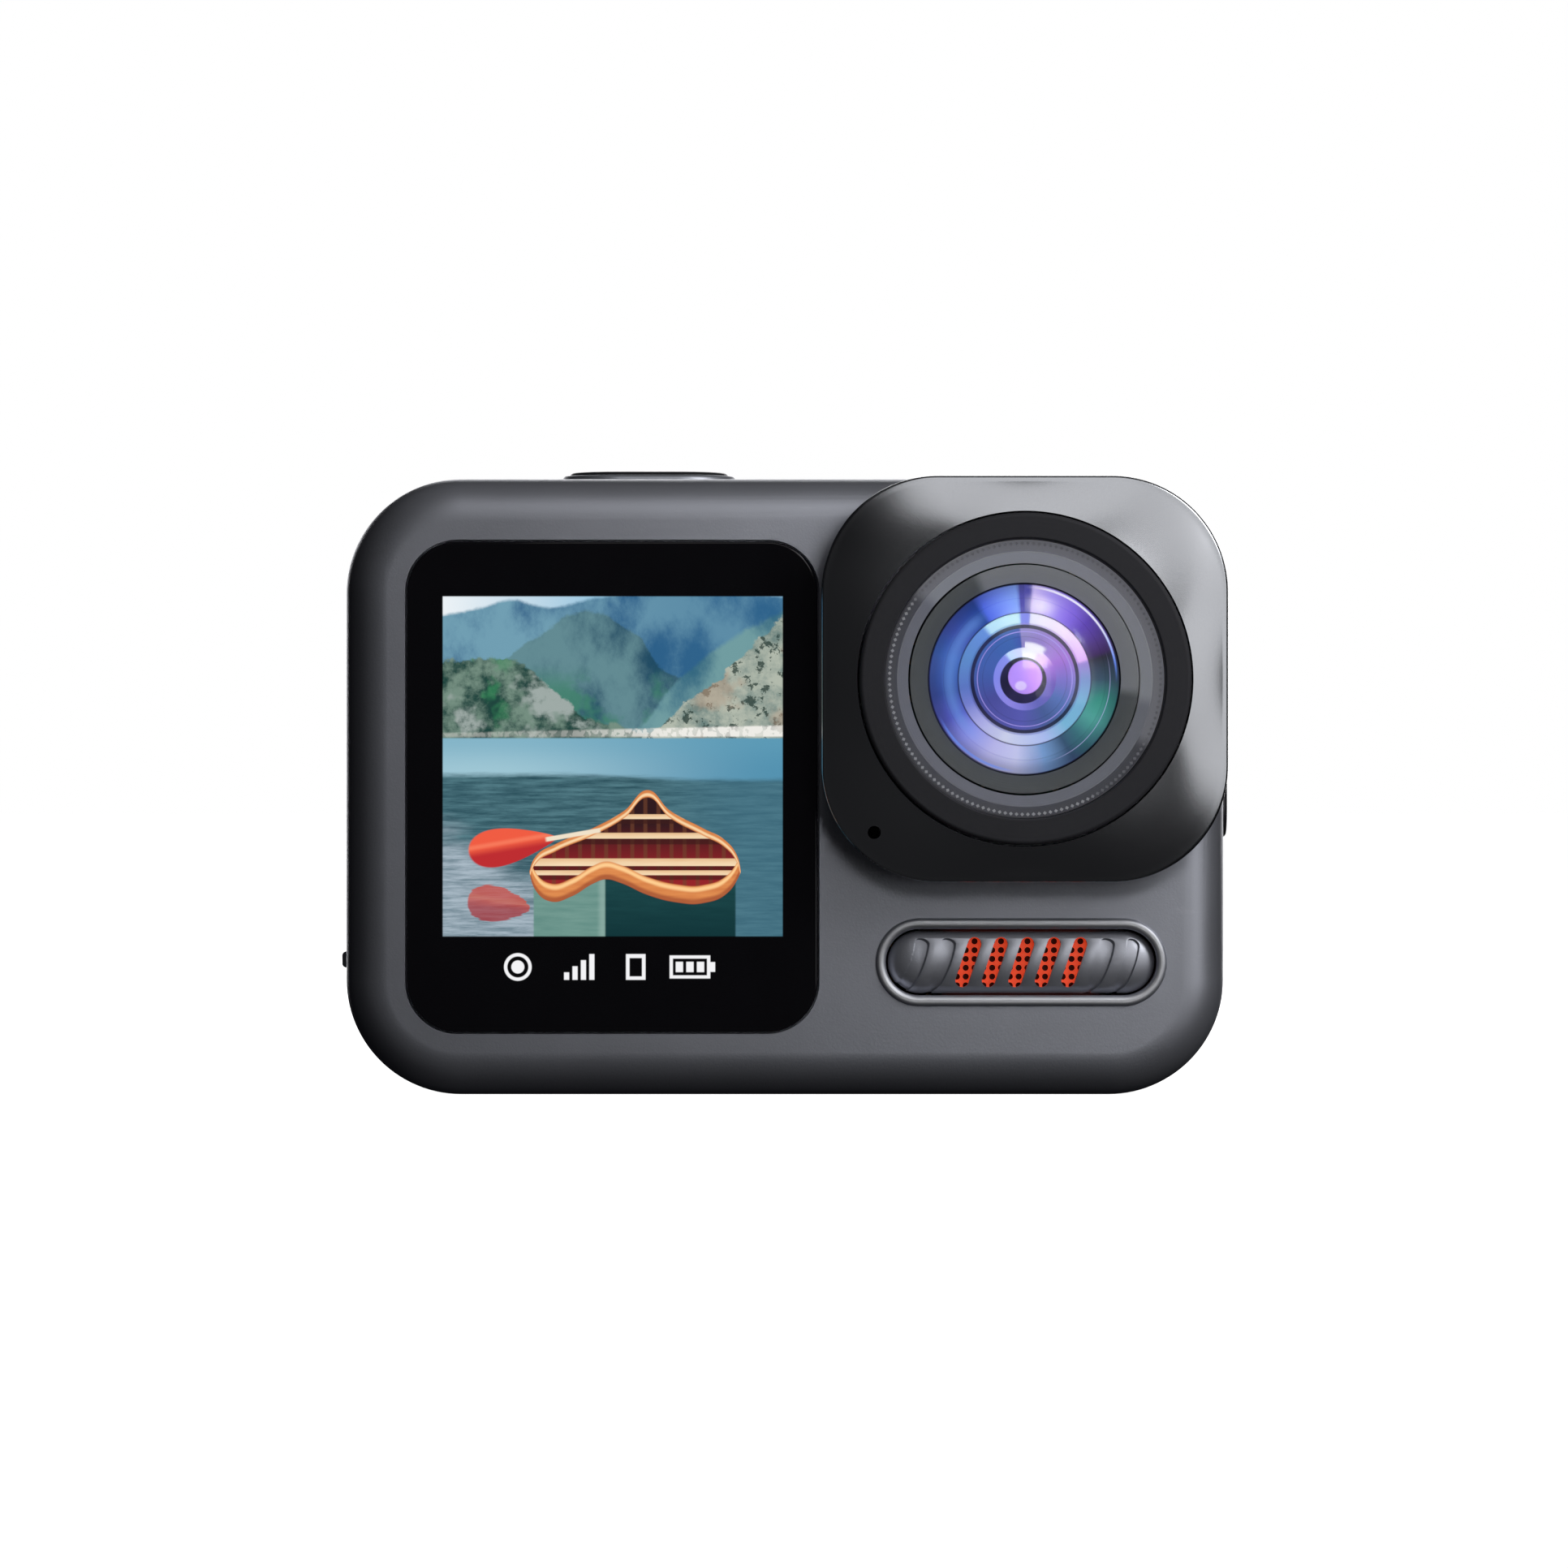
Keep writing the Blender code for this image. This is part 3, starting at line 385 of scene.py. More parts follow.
def battery_film():
    """The battery's dark wrap, with a pale band and an orange-red stripe."""
    made = Finish("battery_wrap", coat_weight=0.5, coat_roughness=0.15)
    where = made.place()
    z = made.parts(where)[2]
    band = z.near(middle("battery", "Z") + 4, 6.0, 0.1)
    stripe = z.near(middle("battery", "Z") + 0.2, 0.5, 0.1)
    mottling = made.noise(where, 0.35, 4.0)
    base = made.mix((0.014, 0.016, 0.022), (0.026, 0.03, 0.04), mottling)
    base = made.mix(base, (0.08, 0.09, 0.11), band)
    made.put("Base Color", made.mix(base, (0.62, 0.1, 0.03), stripe))
    made.put("Roughness", 0.32 + mottling * 0.12)
    made.bump(made.noise(where, 2.5, 3.0), 0.015, 0.3)
    return made.material


def ribbon_film():
    made = Finish("ribbon_film", coat_weight=0.3)
    where = made.place()
    z = made.parts(where)[2]
    tracks = ((z * 3.2) % 1).near(0.5, 0.5, 0.1)
    made.put("Base Color", made.mix((0.42, 0.15, 0.02), (0.22, 0.07, 0.012), tracks))
    made.put("Roughness", 0.35 + tracks * 0.1)
    return made.material


def bezel_lacquer():
    """Dark metallic lacquer with fine flakes."""
    made = Finish("bezel_lacquer", metallic=1.0)
    where = made.place()
    flakes = made.noise(where, 14.0, 1.0)
    broad = made.noise(where, 0.15, 3.0)
    made.put("Base Color", made.mix((0.39, 0.4, 0.425), (0.45, 0.46, 0.485), flakes))
    made.put("Roughness", 0.2 + broad * 0.02)
    made.bump(flakes, 0.002, 0.4)
    return made.material


def glowing_lacquered_sheet():
    """Orange-red lacquer on the perforated sheet, lighter in random specks, with a painted glow that keeps
    it bright in the shade of the slots.
    """
    made = Finish("orange_lacquer_glow", roughness=0.4, emission_strength=0.46)
    where = made.place()
    specks = made.noise(where, 3.0, 4.0, 0.6)
    colour = made.mix(srgb(236, 60, 26), srgb(255, 88, 48), specks)
    made.put("Base Color", colour)
    # Painted glow: the emission repeats the lacquer's colour.
    made.put("Emission Color", colour)
    made.put("Roughness", 0.36 + specks * 0.12)
    made.bump(specks, 0.006, 0.4)
    return made.material


def clear_plate():
    """A thin flat window: it lets light straight through and mirrors a little of it."""
    made = Finish("window_glass")
    where = made.place(LENS_X, 0, LENS_Z)
    smudge = made.noise(where, 0.35, 4.0, 0.6).over(0.62, 0.3)
    gloss = made.add(
        "ShaderNodeBsdfGlossy", None, {"Color": (0.8, 0.84, 1.0), "Roughness": 0.02 + smudge * 0.03}
    )
    through = made.add("ShaderNodeBsdfTransparent", None, {"Color": (0.97, 0.975, 0.98)})
    fresnel = made.add("ShaderNodeFresnel", None, {"IOR": 1.38})
    both = made.add("ShaderNodeMixShader", None, {0: fresnel, 1: through, 2: gloss})
    made.fill(made.tree.nodes["Material Output"].inputs["Surface"], both)
    return made.material


def optical_glass():
    """The inner lenses: clear, with a faint green coating."""
    made = Finish("optical_glass", transmission_weight=1.0, ior=1.6)
    where = made.place(LENS_X, 0, LENS_Z)
    haze = made.noise(where, 0.6, 3.0)
    made.put("Base Color", made.mix((0.86, 0.95, 0.9), (0.95, 0.98, 1.0), haze))
    made.put("Roughness", 0.01 + haze * 0.02)
    return made.material


# ---------------------------------------------------------------- the picture on the front display
def curve_of(made, value, *points):
    """A smooth curve through points, from 0 to 1."""
    return made.add("ShaderNodeFloatCurve", {"points": points}, {"Value": value})


def lake(made, u, v):
    """A mountain lake: blue ridges behind two rocky hills, a pale beach, and darker water in front."""
    flat = made.vector(u, v)
    leaning = made.add("ShaderNodeMapping", None, {0: flat, 2: (0, 0, 0.75), 3: (3.4, 2.2, 1.0)})
    gullies = made.noise(leaning, 2.6, 7.0, 0.68) * 0.62 + made.cells(leaning, 2.1) * 0.42
    crag = made.noise(flat, 11.0, 7.0, 0.66)
    patches = made.noise(flat, 4.5, 4.0, 0.6)
    far = curve_of(made, u, (0, 0.945), (0.1, 0.965), (0.2, 0.99), (0.32, 0.965), (0.45, 0.995), (1, 1.0))
    near_blue = curve_of(
        made, u, (0, 0.74), (0.16, 0.8), (0.3, 0.9), (0.42, 0.955), (0.55, 0.9), (0.66, 0.78), (1, 0.7)
    )
    slope = curve_of(made, u, (0, 0.5), (0.55, 0.6), (0.7, 0.76), (0.86, 0.88), (1, 0.955))
    left = curve_of(
        made, u, (0, 0.81), (0.12, 0.815), (0.24, 0.8), (0.33, 0.715), (0.45, 0.635), (0.6, 0.6), (1, 0.55)
    )
    right = curve_of(made, u, (0, 0.5), (0.62, 0.6), (0.72, 0.69), (0.84, 0.78), (0.93, 0.88), (1, 0.94))

    sky = made.mix(srgb(236, 242, 246), srgb(150, 196, 222), u * 2.2)
    haze = made.mix(srgb(34, 84, 128), srgb(112, 158, 178), gullies.over(0.5, 0.3))
    haze = made.mix(haze, srgb(56, 112, 150), u.over(0.5, 0.6) * 0.45)
    view = made.mix(sky, haze, (far + (crag - 0.5) * 0.03).over(v, 0.014))
    teal = made.mix(srgb(30, 74, 98), srgb(98, 138, 146), gullies.over(0.5, 0.3))
    teal = made.mix(teal, srgb(62, 128, 104), v.under(0.76, 0.1) * patches.over(0.5, 0.12) * 0.8)
    view = made.mix(view, teal, (near_blue + (crag - 0.5) * 0.07).over(v, 0.012))
    flank = made.mix(srgb(52, 104, 128), srgb(112, 156, 160), gullies.over(0.47, 0.3))
    view = made.mix(view, flank, (slope + (crag - 0.5) * 0.05).over(v, 0.02))

    woods = made.mix(srgb(28, 66, 60), srgb(116, 142, 128), crag.over(0.5, 0.24))
    woods = made.mix(woods, srgb(158, 170, 166), patches.over(0.56, 0.08) * crag.over(0.45, 0.2))
    woods = made.mix(woods, srgb(58, 140, 92), patches.under(0.42, 0.08) * u.under(0.2, 0.2) * 0.7)
    view = made.mix(view, woods, (left + (crag - 0.5) * 0.09).over(v, 0.01))
    scree = made.mix(srgb(104, 128, 124), srgb(178, 186, 172), crag.over(0.47, 0.3))
    scree = made.mix(scree, srgb(34, 58, 52), made.noise(flat, 24.0, 4.0, 0.7).over(0.57, 0.05) * 0.85)
    scree = made.mix(scree, srgb(176, 150, 128), patches.over(0.57, 0.1) * 0.5)
    view = made.mix(view, scree, (right + (crag - 0.5) * 0.12).over(v, 0.01))

    huts = made.noise(made.stretch(flat, (60.0, 40.0, 1.0)), 1.0, 2.0).over(0.47, 0.06)
    beach = v.near(0.592 + u * 0.012, 0.012 + u * 0.02, 0.008) * (0.3 + u.over(0.5, 0.4) * 0.6)
    beach = beach * (0.45 + huts * 0.55 + u.over(0.7, 0.2) * 0.3)
    view = made.mix(view, srgb(238, 236, 230), beach)

    ripples = made.noise(made.stretch(flat, (4.0, 46.0, 1.0)), 1.6, 6.0, 0.68)
    swell = made.noise(made.stretch(flat, (1.2, 5.0, 1.0)), 1.5, 4.0, 0.6)
    bright = made.mix(srgb(158, 198, 212), srgb(84, 146, 176), u.over(0.55, 0.9))
    bright = made.mix(bright, srgb(98, 160, 186), v.over(0.53, 0.1) * 0.5)
    dark = made.mix(srgb(34, 72, 84), srgb(86, 128, 138), ripples.over(0.5, 0.5))
    dark = made.mix(dark, srgb(70, 118, 138), u.over(0.72, 0.4) * 0.6)
    grey = made.mix(srgb(100, 124, 136), srgb(172, 188, 200), ripples.over(0.48, 0.4))
    shore = v + (ripples - 0.5) * 0.02 + u.over(0.6, 0.5) * 0.015
    water = made.mix(dark, bright, shore.over(0.475, 0.022))
    water = made.mix(water, grey, (0.78 - u * 1.15 - v * 2.1 + (swell - 0.5) * 1.1).over(0.15, 0.4))
    return made.mix(view, water, v.under(0.583, 0.006))


def canoe(made, view, u, v):
    """A wooden-rimmed canoe from behind its stern, empty, with plank seats and a green hull."""
    grain = made.noise(made.stretch(made.vector(u, v), (9.0, 70.0, 1.0)), 1.0, 3.0)
    along = (u - 0.255) / 0.622
    low = curve_of(
        made, along,
        (0, 0.19), (0.03, 0.135), (0.1, 0.103), (0.2, 0.118), (0.3, 0.155), (0.36, 0.168),
        (0.43, 0.158), (0.56, 0.122), (0.7, 0.1), (0.82, 0.098), (0.94, 0.13), (1, 0.19),
    )
    high = curve_of(
        made, along,
        (0, 0.19), (0.03, 0.235), (0.12, 0.27), (0.3, 0.318), (0.45, 0.37), (0.56, 0.43),
        (0.66, 0.372), (0.82, 0.318), (0.93, 0.28), (0.98, 0.24), (1, 0.19),
    )
    within = along.over(0.0, 0.004) * along.under(1.0, 0.004)
    hull = v.under(low + 0.02, 0.004) * along.over(0.02, 0.01) * along.under(0.975, 0.01)
    pale = made.mix(srgb(84, 130, 122), srgb(126, 164, 154), grain)
    deep = made.mix(srgb(14, 52, 56), srgb(34, 82, 84), grain * (v * 6.0))
    pale = made.mix(pale, srgb(150, 180, 172), u.near(0.47, 0.02, 0.02) * 0.6)
    view = made.mix(view, made.mix(pale, deep, u.over(0.478, 0.006)), hull)

    inside = within * v.over(low, 0.004) * v.under(high, 0.004)
    ribs = ((u * 26.0) % 1.0).near(0.5, 0.3, 0.1)
    cabin = made.mix(srgb(150, 36, 40), srgb(46, 24, 28), v.over(0.25, 0.2))
    cabin = made.mix(cabin, srgb(112, 66, 44), ribs * 0.55)
    view = made.mix(view, cabin, inside)
    for level, width in ((0.352, 0.014), (0.296, 0.017), (0.218, 0.022), (0.187, 0.014)):
        shade = (v - level).over(0.0, width) * 0.4 + grain * 0.5
        plank = made.mix(srgb(252, 232, 196), srgb(222, 168, 112), shade)
        view = made.mix(view, srgb(60, 26, 24), inside * v.near(level - width, width, 0.004) * 0.7)
        view = made.mix(view, plank, inside * v.near(level, width, 0.003))

    wood = made.mix(srgb(240, 160, 92), srgb(198, 106, 58), grain)
    rim = (v - low).under(0.052, 0.005)
    shine = made.mix(wood, srgb(255, 206, 144), (v - low).near(0.042, 0.012, 0.01))
    shine = made.mix(shine, srgb(150, 66, 44), (v - low).under(0.014, 0.012) * 0.7)
    view = made.mix(view, shine, inside * rim)
    edge = (high - v).under(0.021, 0.004)
    rail = made.mix(wood, srgb(250, 214, 166), (high - v).near(0.013, 0.008, 0.006))
    return made.mix(view, rail, inside * edge)


def paddle(made, view, u, v):
    """A plain red paddle held over the water, and its darker reflection."""
    ripple = made.noise(made.stretch(made.vector(u, v), (5.0, 60.0, 1.0)), 1.5, 3.0)
    for cx, cy, lean, tone in ((0.205, 0.268, 0.17, 1.0), (0.165, 0.094, -0.13, 0.8)):
        du, dv = u - cx, v - cy
        if tone < 1:
            dv = dv + (ripple - 0.5) * 0.03
        along = du * math.cos(lean) + dv * math.sin(lean)
        off = dv * math.cos(lean) - du * math.sin(lean)
        length = 0.13 if tone == 1 else 0.092
        outline = (along / length) ** 2.0 + (off / (0.05 - along * 0.21)) ** 2.0
        blade = made.mix(srgb(240, 92, 66), srgb(190, 44, 48), off.under(-0.004, 0.03))
        blade = made.mix(blade, srgb(250, 130, 98), off.near(0.012, 0.012, 0.012) * 0.7)
        if tone < 1:
            blade = made.mix(blade, srgb(120, 30, 40), 0.45)
        view = made.mix(view, blade, outline.under(1.0, 0.12) * tone)
        if tone == 1:
            shaft = off.near(0.0, 0.013, 0.004) * along.over(0.1, 0.01) * along.under(0.262, 0.006)
            view = made.mix(view, srgb(240, 226, 202), shaft)
    return view


def pictograms(x, z):
    """A row of plain signs under the picture: a record mark, signal bars, a card and a battery."""
    z0 = span("front_glass", "Z")[0] + 4.8
    sharp = 0.08

    def bar(cx, half_x, low, high):
        return abs(x - cx).under(half_x, sharp) * z.over(z0 + low, sharp) * z.under(z0 + high, sharp)

    left = PICTURE_X - 7.0
    from_dot = ((x - left) ** 2.0 + (z - z0) ** 2.0) ** 0.5
    signs = from_dot.under(0.48, sharp) + from_dot.near(0.9, 0.24, sharp)
    for k in range(4):
        signs = signs + bar(left + 3.6 + 0.62 * k, 0.19, -0.95, -0.4 + 0.45 * k)
    card = bar(PICTURE_X + 1.7, 0.72, -0.95, 0.95)
    signs = signs + card - bar(PICTURE_X + 1.7, 0.46, -0.7, 0.66)
    case = PICTURE_X + 5.7
    signs = signs + bar(case, 1.5, -0.85, 0.85) - bar(case, 1.26, -0.62, 0.62)
    signs = signs + bar(case + 1.68, 0.18, -0.36, 0.36)
    for k in range(3):
        signs = signs + bar(case - 0.78 + 0.78 * k, 0.27, -0.38, 0.38)
    return signs


def front_screen():
    """Black glass bonded to the lit panel, which shows a lake and a row of signs."""
    made = Finish("front_screen", specular_ior_level=0.3, emission_strength=1.0)
    where = made.place()
    x, y, z = made.parts(where)
    u = (x - PICTURE_X) / PICTURE_SIDE + 0.5
    v = (z - PICTURE_Z) / PICTURE_SIDE + 0.5
    view = paddle(made, canoe(made, lake(made, u, v), u, v), u, v)
    face = y.under(FRONT + 0.2, 0.1)
    lit = abs(u - 0.5).under(0.5, 0.004) * abs(v - 0.5).under(0.5, 0.004) * face
    signs = pictograms(x, z) * face
    glow = made.mix((0.0006, 0.0005, 0.0008), view, lit)
    made.put("Emission Color", made.mix(glow, (0.9, 0.9, 0.92), signs))
    smears = made.noise(made.stretch(where, (0.4, 1.0, 0.25)), 0.6, 4.0, 0.6)
    made.put("Base Color", made.mix((0.003, 0.003, 0.0035), (0.005, 0.005, 0.006), smears))
    made.put("Roughness", 0.05 + smears.over(0.55, 0.3) * 0.06)
    return made.material


def panel_glass():
    """The bare display panels: dark, with the faint grid of their cells."""
    made = Finish("panel_glass")
    where = made.place()
    x, _, z = made.parts(where)
    grid = ((x * 4) % 1).near(0.5, 0.8, 0.1) * ((z * 4) % 1).near(0.5, 0.8, 0.1)
    made.put("Base Color", made.mix((0.01, 0.01, 0.012), (0.03, 0.034, 0.04), grid))
    made.put("Roughness", 0.12 + grid * 0.08)
    return made.material


def rear_screen():
    """The touch display, dark: its panel is a shade lighter than the border behind the glass."""
    made = Finish("rear_screen")
    where = made.place()
    x, _, z = made.parts(where)
    low, high = span("rear_lcd", "X")
    panel = abs(x - (low + high) / 2).under((high - low) / 2 - 0.8, 0.1)
    low, high = span("rear_lcd", "Z")
    panel = panel * abs(z - (low + high) / 2).under((high - low) / 2 - 0.8, 0.1)
    smears = made.noise(made.stretch(where, (0.3, 1.0, 0.5)), 0.4, 5.0, 0.65)
    tone = made.mix((0.004, 0.004, 0.005), (0.013, 0.014, 0.017), panel)
    made.put("Base Color", made.mix(tone, (0.02, 0.02, 0.022), smears.over(0.6, 0.2) * 0.4))
    made.put("Roughness", 0.05 + smears.over(0.52, 0.25) * 0.12)
    return made.material


# ---------------------------------------------------------------- the coated lens, with painted reflections
def clock(made, x, z):
    """The turn around the lens as a part of a circle, clockwise from the top."""
    back = {0: x * -1, 1: z * -1}
    return made.add("ShaderNodeMath", {"operation": "ARCTAN2"}, back) / (2 * math.pi) + 0.5


def round_the_clock(made, turn, *stops):
    """A colour that changes around the lens, from (degrees clockwise from the top, colour) pairs."""
    return made.ramp(turn, *[(degrees / 360, srgb(*colour)) for degrees, colour in stops])


def painted_lens_reflections():
    """Painted reflections of the violet, blue and green coatings: the hue turns around the glass and
    changes from ring to ring. The colour also glows.
    """
    # Painted glow: the emission repeats the painted colour.
    made = Finish("painted_lens_reflections", coat_weight=0.6, coat_roughness=0.03, emission_strength=0.85)
    where = made.place(LENS_X, 0, LENS_Z)
    x, _, z = made.parts(where)
    r = (x**2.0 + z**2.0) ** 0.5
    turn = clock(made, x, z)
    wave = made.noise(made.vector(x, z), 0.32, 2.0)

    # Each ramp is a painted reflection of the coatings for one zone, from the rim inwards, with lit and
    # dark sectors around the clock.
    outer = round_the_clock(
        made, turn,
        (0, (84, 82, 170)), (4, (84, 82, 170)), (6, (214, 196, 252)), (18, (176, 156, 246)),
        (34, (138, 112, 226)),
        (48, (96, 70, 176)), (64, (78, 56, 120)), (71, (66, 46, 92)), (74, (50, 50, 60)),
        (90, (54, 80, 90)),
        (105, (60, 140, 126)), (120, (80, 164, 150)), (136, (56, 112, 116)), (148, (58, 84, 112)),
        (166, (120, 156, 204)),
        (186, (200, 202, 240)), (205, (188, 186, 236)), (226, (144, 150, 236)), (242, (88, 96, 194)),
        (260, (60, 82, 160)), (286, (66, 106, 188)), (304, (62, 84, 172)), (326, (40, 70, 150)),
        (331, (86, 112, 230)),
        (345, (122, 150, 248)), (355, (138, 172, 252)), (357, (84, 82, 170)),
    )
    ring = round_the_clock(
        made, turn,
        (0, (128, 136, 230)), (4, (128, 136, 230)), (6, (240, 240, 252)), (40, (244, 224, 250)),
        (64, (236, 194, 250)),
        (72, (226, 180, 246)), (75, (156, 132, 206)), (90, (124, 150, 202)), (112, (122, 184, 214)),
        (138, (122, 182, 212)),
        (162, (176, 192, 240)), (198, (208, 212, 236)), (226, (176, 176, 232)), (246, (120, 130, 206)),
        (262, (94, 120, 194)),
        (290, (96, 144, 204)), (320, (106, 148, 220)), (325, (188, 230, 250)), (354, (200, 242, 246)),
        (357, (128, 136, 230)),
    )
    middle = round_the_clock(
        made, turn,
        (0, (142, 134, 190)), (30, (150, 126, 196)), (62, (164, 116, 206)), (90, (130, 118, 198)),
        (120, (90, 118, 178)),
        (150, (72, 94, 146)), (185, (88, 90, 170)), (240, (74, 78, 150)), (290, (64, 98, 170)),
        (340, (62, 100, 168)),
        (354, (62, 86, 166)), (355, (142, 134, 190)),
    )
    core = round_the_clock(
        made, turn,
        (0, (236, 240, 246)), (18, (234, 234, 248)), (30, (214, 188, 234)), (48, (222, 176, 238)),
        (66, (166, 120, 210)),
        (100, (118, 100, 184)), (150, (102, 104, 182)), (210, (146, 138, 226)), (270, (134, 140, 232)),
        (318, (138, 148, 234)),
        (326, (198, 226, 248)), (352, (208, 214, 250)), (356, (236, 240, 246)),
    )
    # Painted shade darkens the outer zone towards its rim; painted reflections add a blue tint on the left,
    # a white highlight near the top and a bright line along the rim.
    near_wedge = turn.under(0.2, 0.01)
    outer = made.mix(outer, srgb(28, 30, 62), r.over(6.3, 1.2) * (0.45 - near_wedge * 0.2))
    blue_side = turn.over(0.62, 0.1) * turn.under(0.9, 0.05)
    outer = made.mix(outer, srgb(120, 170, 240), r.near(5.5, 0.7, 0.7) * blue_side * 0.35)
    outer = made.mix(outer, srgb(250, 240, 255), r.near(5.5, 1.0, 1.0) * turn.near(0.035, 0.04, 0.05) * 0.8)
    rim_light = turn.near(0.13, 0.2, 0.06) + turn.near(0.6, 0.13, 0.05) * 0.7
    rim_hue = made.mix(srgb(244, 240, 255), srgb(110, 150, 255), turn.over(0.18, 0.1))
    outer = made.mix(outer, rim_hue, r.near(6.78, 0.14, 0.12) * rim_light)

    colour = made.mix(outer, ring, r.under(4.88, 0.08))
    colour = made.mix(colour, made.mix(ring, middle, 0.5), r.under(4.12, 0.12))
    colour = made.mix(colour, middle, r.under(3.76, 0.08))
    colour = made.mix(colour, srgb(176, 160, 236), r.near(3.48, 0.07, 0.06) * 0.7)
    colour = made.mix(colour, core, r.under(2.3, 0.1))
    # Painted highlight: a white flash on the inner rings just right of the top.
    flash = r.near(2.45, 0.5, 0.3) * turn.near(0.045, 0.1, 0.03)
    colour = made.mix(colour, srgb(248, 246, 252), flash)
    dark = srgb(24, 22, 44)
    grooves = (
        (7.0, 0.12, 0.8), (4.88, 0.1, 0.75), (3.86, 0.26, 0.92), (5.95, 0.04, 0.25), (3.1, 0.04, 0.3)
    )
    for radius, width, depth in grooves:
        colour = made.mix(colour, dark, r.near(radius, width, 0.07) * depth)
    # Painted reflection: a faint light arc on the right side, near the rim.
    colour = made.mix(
        colour, srgb(200, 200, 255), r.near(6.3, 0.05, 0.05) * turn.near(0.33, 0.2, 0.08) * 0.5
    )
    pupil = ((x + 0.12) ** 2.0 + (z + 0.1) ** 2.0) ** 0.5
    colour = made.mix(colour, srgb(20, 16, 34), pupil.under(1.7, 0.1) * 0.97)
    disc = ((x - 0.02) ** 2.0 + (z - 0.14) ** 2.0) ** 0.5
    # Painted light on the central disc: it is lighter to the right, with a small glint on its lower left.
    iris = made.mix(srgb(186, 146, 246), srgb(216, 160, 252), x.over(0.1, 1.6))
    spark = ((x + 0.3) ** 2.0 + ((z + 0.5) / 0.8) ** 2.0) ** 0.5
    iris = made.mix(iris, srgb(226, 204, 252), spark.under(0.42, 0.2))
    colour = made.mix(colour, iris, disc.under(1.24, 0.12))
    colour = made.mix(colour, scaled(srgb(120, 110, 200), 0.6), (wave.over(0.55, 0.3)) * 0.12)
    made.put("Base Color", colour)
    made.put("Roughness", 0.16 + wave * 0.1)
    made.put("Emission Color", colour)
    return made.material


def ringed(name, plain, lit, sector, roughness, grooves, relief, **constants):
    """Lens rings: fine turned grooves, and a painted reflection that gives the lit colour all around but
    for a plain sector, in degrees. The colour also glows at the strength given.
    """
    made = Finish(name, **constants)
    where = made.place(LENS_X, 0, LENS_Z)
    x, _, z = made.parts(where)
    r = (x**2.0 + z**2.0) ** 0.5
    turn = clock(made, x, z)
    lines = ((r * grooves) % 1).near(0.5, 0.5, 0.3)
    dust = made.noise(where, 1.6, 4.0, 0.65)
    start, end = (degrees / 360 for degrees in sector)
    # Painted reflection: outside the plain sector the ring takes its lit colour.
    painted_lit_sector = turn.over(end, 0.02) + turn.under(start, 0.02)
    plain = made.mix(plain, scaled(plain, 0.7), dust * 0.5)
    tone = made.mix(plain, made.mix(lit, scaled(lit, 0.85), dust * 0.5), painted_lit_sector)
    made.put("Base Color", tone)
    # Painted glow: the emission repeats the colour, lifting the rings out of the shade of the collar.
    made.put("Emission Color", tone)
    made.put("Roughness", roughness + dust * 0.08)
    made.bump(lines, relief, 0.5)
    return made.material


SHELL = shell_plastic()
BLACK = moulded("black_plastic", (0.017, 0.017, 0.019), 0.42, relief=0.008)
CAP = moulded("button_plastic", (0.012, 0.012, 0.014), 0.34, relief=0.006)
ORANGE = moulded("orange_plastic", (0.68, 0.075, 0.03), 0.4, relief=0.008)
STEEL = turned_metal("stamped_steel", (0.6, 0.6, 0.62), 0.3)
BRASS = turned_metal("turned_brass", (0.78, 0.58, 0.25), 0.28)
RUBBER, BOARD, RIBBON = rubber(), circuit_board(), ribbon_film()
BATTERY, LACQUER = battery_film(), bezel_lacquer()
WINDOW, OPTIC, LENS_REFLECTIONS = clear_plate(), optical_glass(), painted_lens_reflections()
PLAIN_BLACK = (0.027, 0.027, 0.032)
COLLAR = ringed(
    "collar_black", PLAIN_BLACK, PLAIN_BLACK, (180, 300), 0.66, 3.0, 0.004, specular_ior_level=0.24
)
# Each ring's lit colour is a painted reflection and its glow a painted glow. For the teeth the plain sector
# is the lighter one: a painted highlight on the lower and left teeth.
BAND, BAND_INNER, RING, TEETH = (
    ringed(name, plain, lit, sector, roughness, grooves, relief, emission_strength=glow)
    for name, plain, lit, sector, roughness, grooves, relief, glow in (
        ("band_outer", (0.045, 0.045, 0.051), (0.12, 0.12, 0.13), (118, 308), 0.5, 6.0, 0.006, 0.95),
        ("band_inner", (0.13, 0.132, 0.145), (0.2, 0.205, 0.215), (100, 310), 0.5, 6.0, 0.006, 0.79),
        ("ring_olive", (0.065, 0.07, 0.07), (0.165, 0.17, 0.175), (97, 335), 0.5, 5.0, 0.005, 0.7),
        ("tooth_grey", (0.22, 0.22, 0.23), (0.1, 0.1, 0.11), (150, 305), 0.45, 6.0, 0.003, 0.8),
    )
)
SCREEN_FRONT, SCREEN_REAR = front_screen(), rear_screen()
GLOWING_LACQUERED_SHEET, PANEL = glowing_lacquered_sheet(), panel_glass()


# ================================================================ shapes
def make(name, bm, location=(0, 0, 0), rotation=(0, 0, 0)):
    mesh = bpy.data.meshes.new(name)
    bm.to_mesh(mesh)
    bm.free()
    obj = bpy.data.objects.new(name, mesh)
    obj.location = Vector(location) * MM
    obj.rotation_euler = rotation
    bpy.context.scene.collection.objects.link(obj)
    return obj


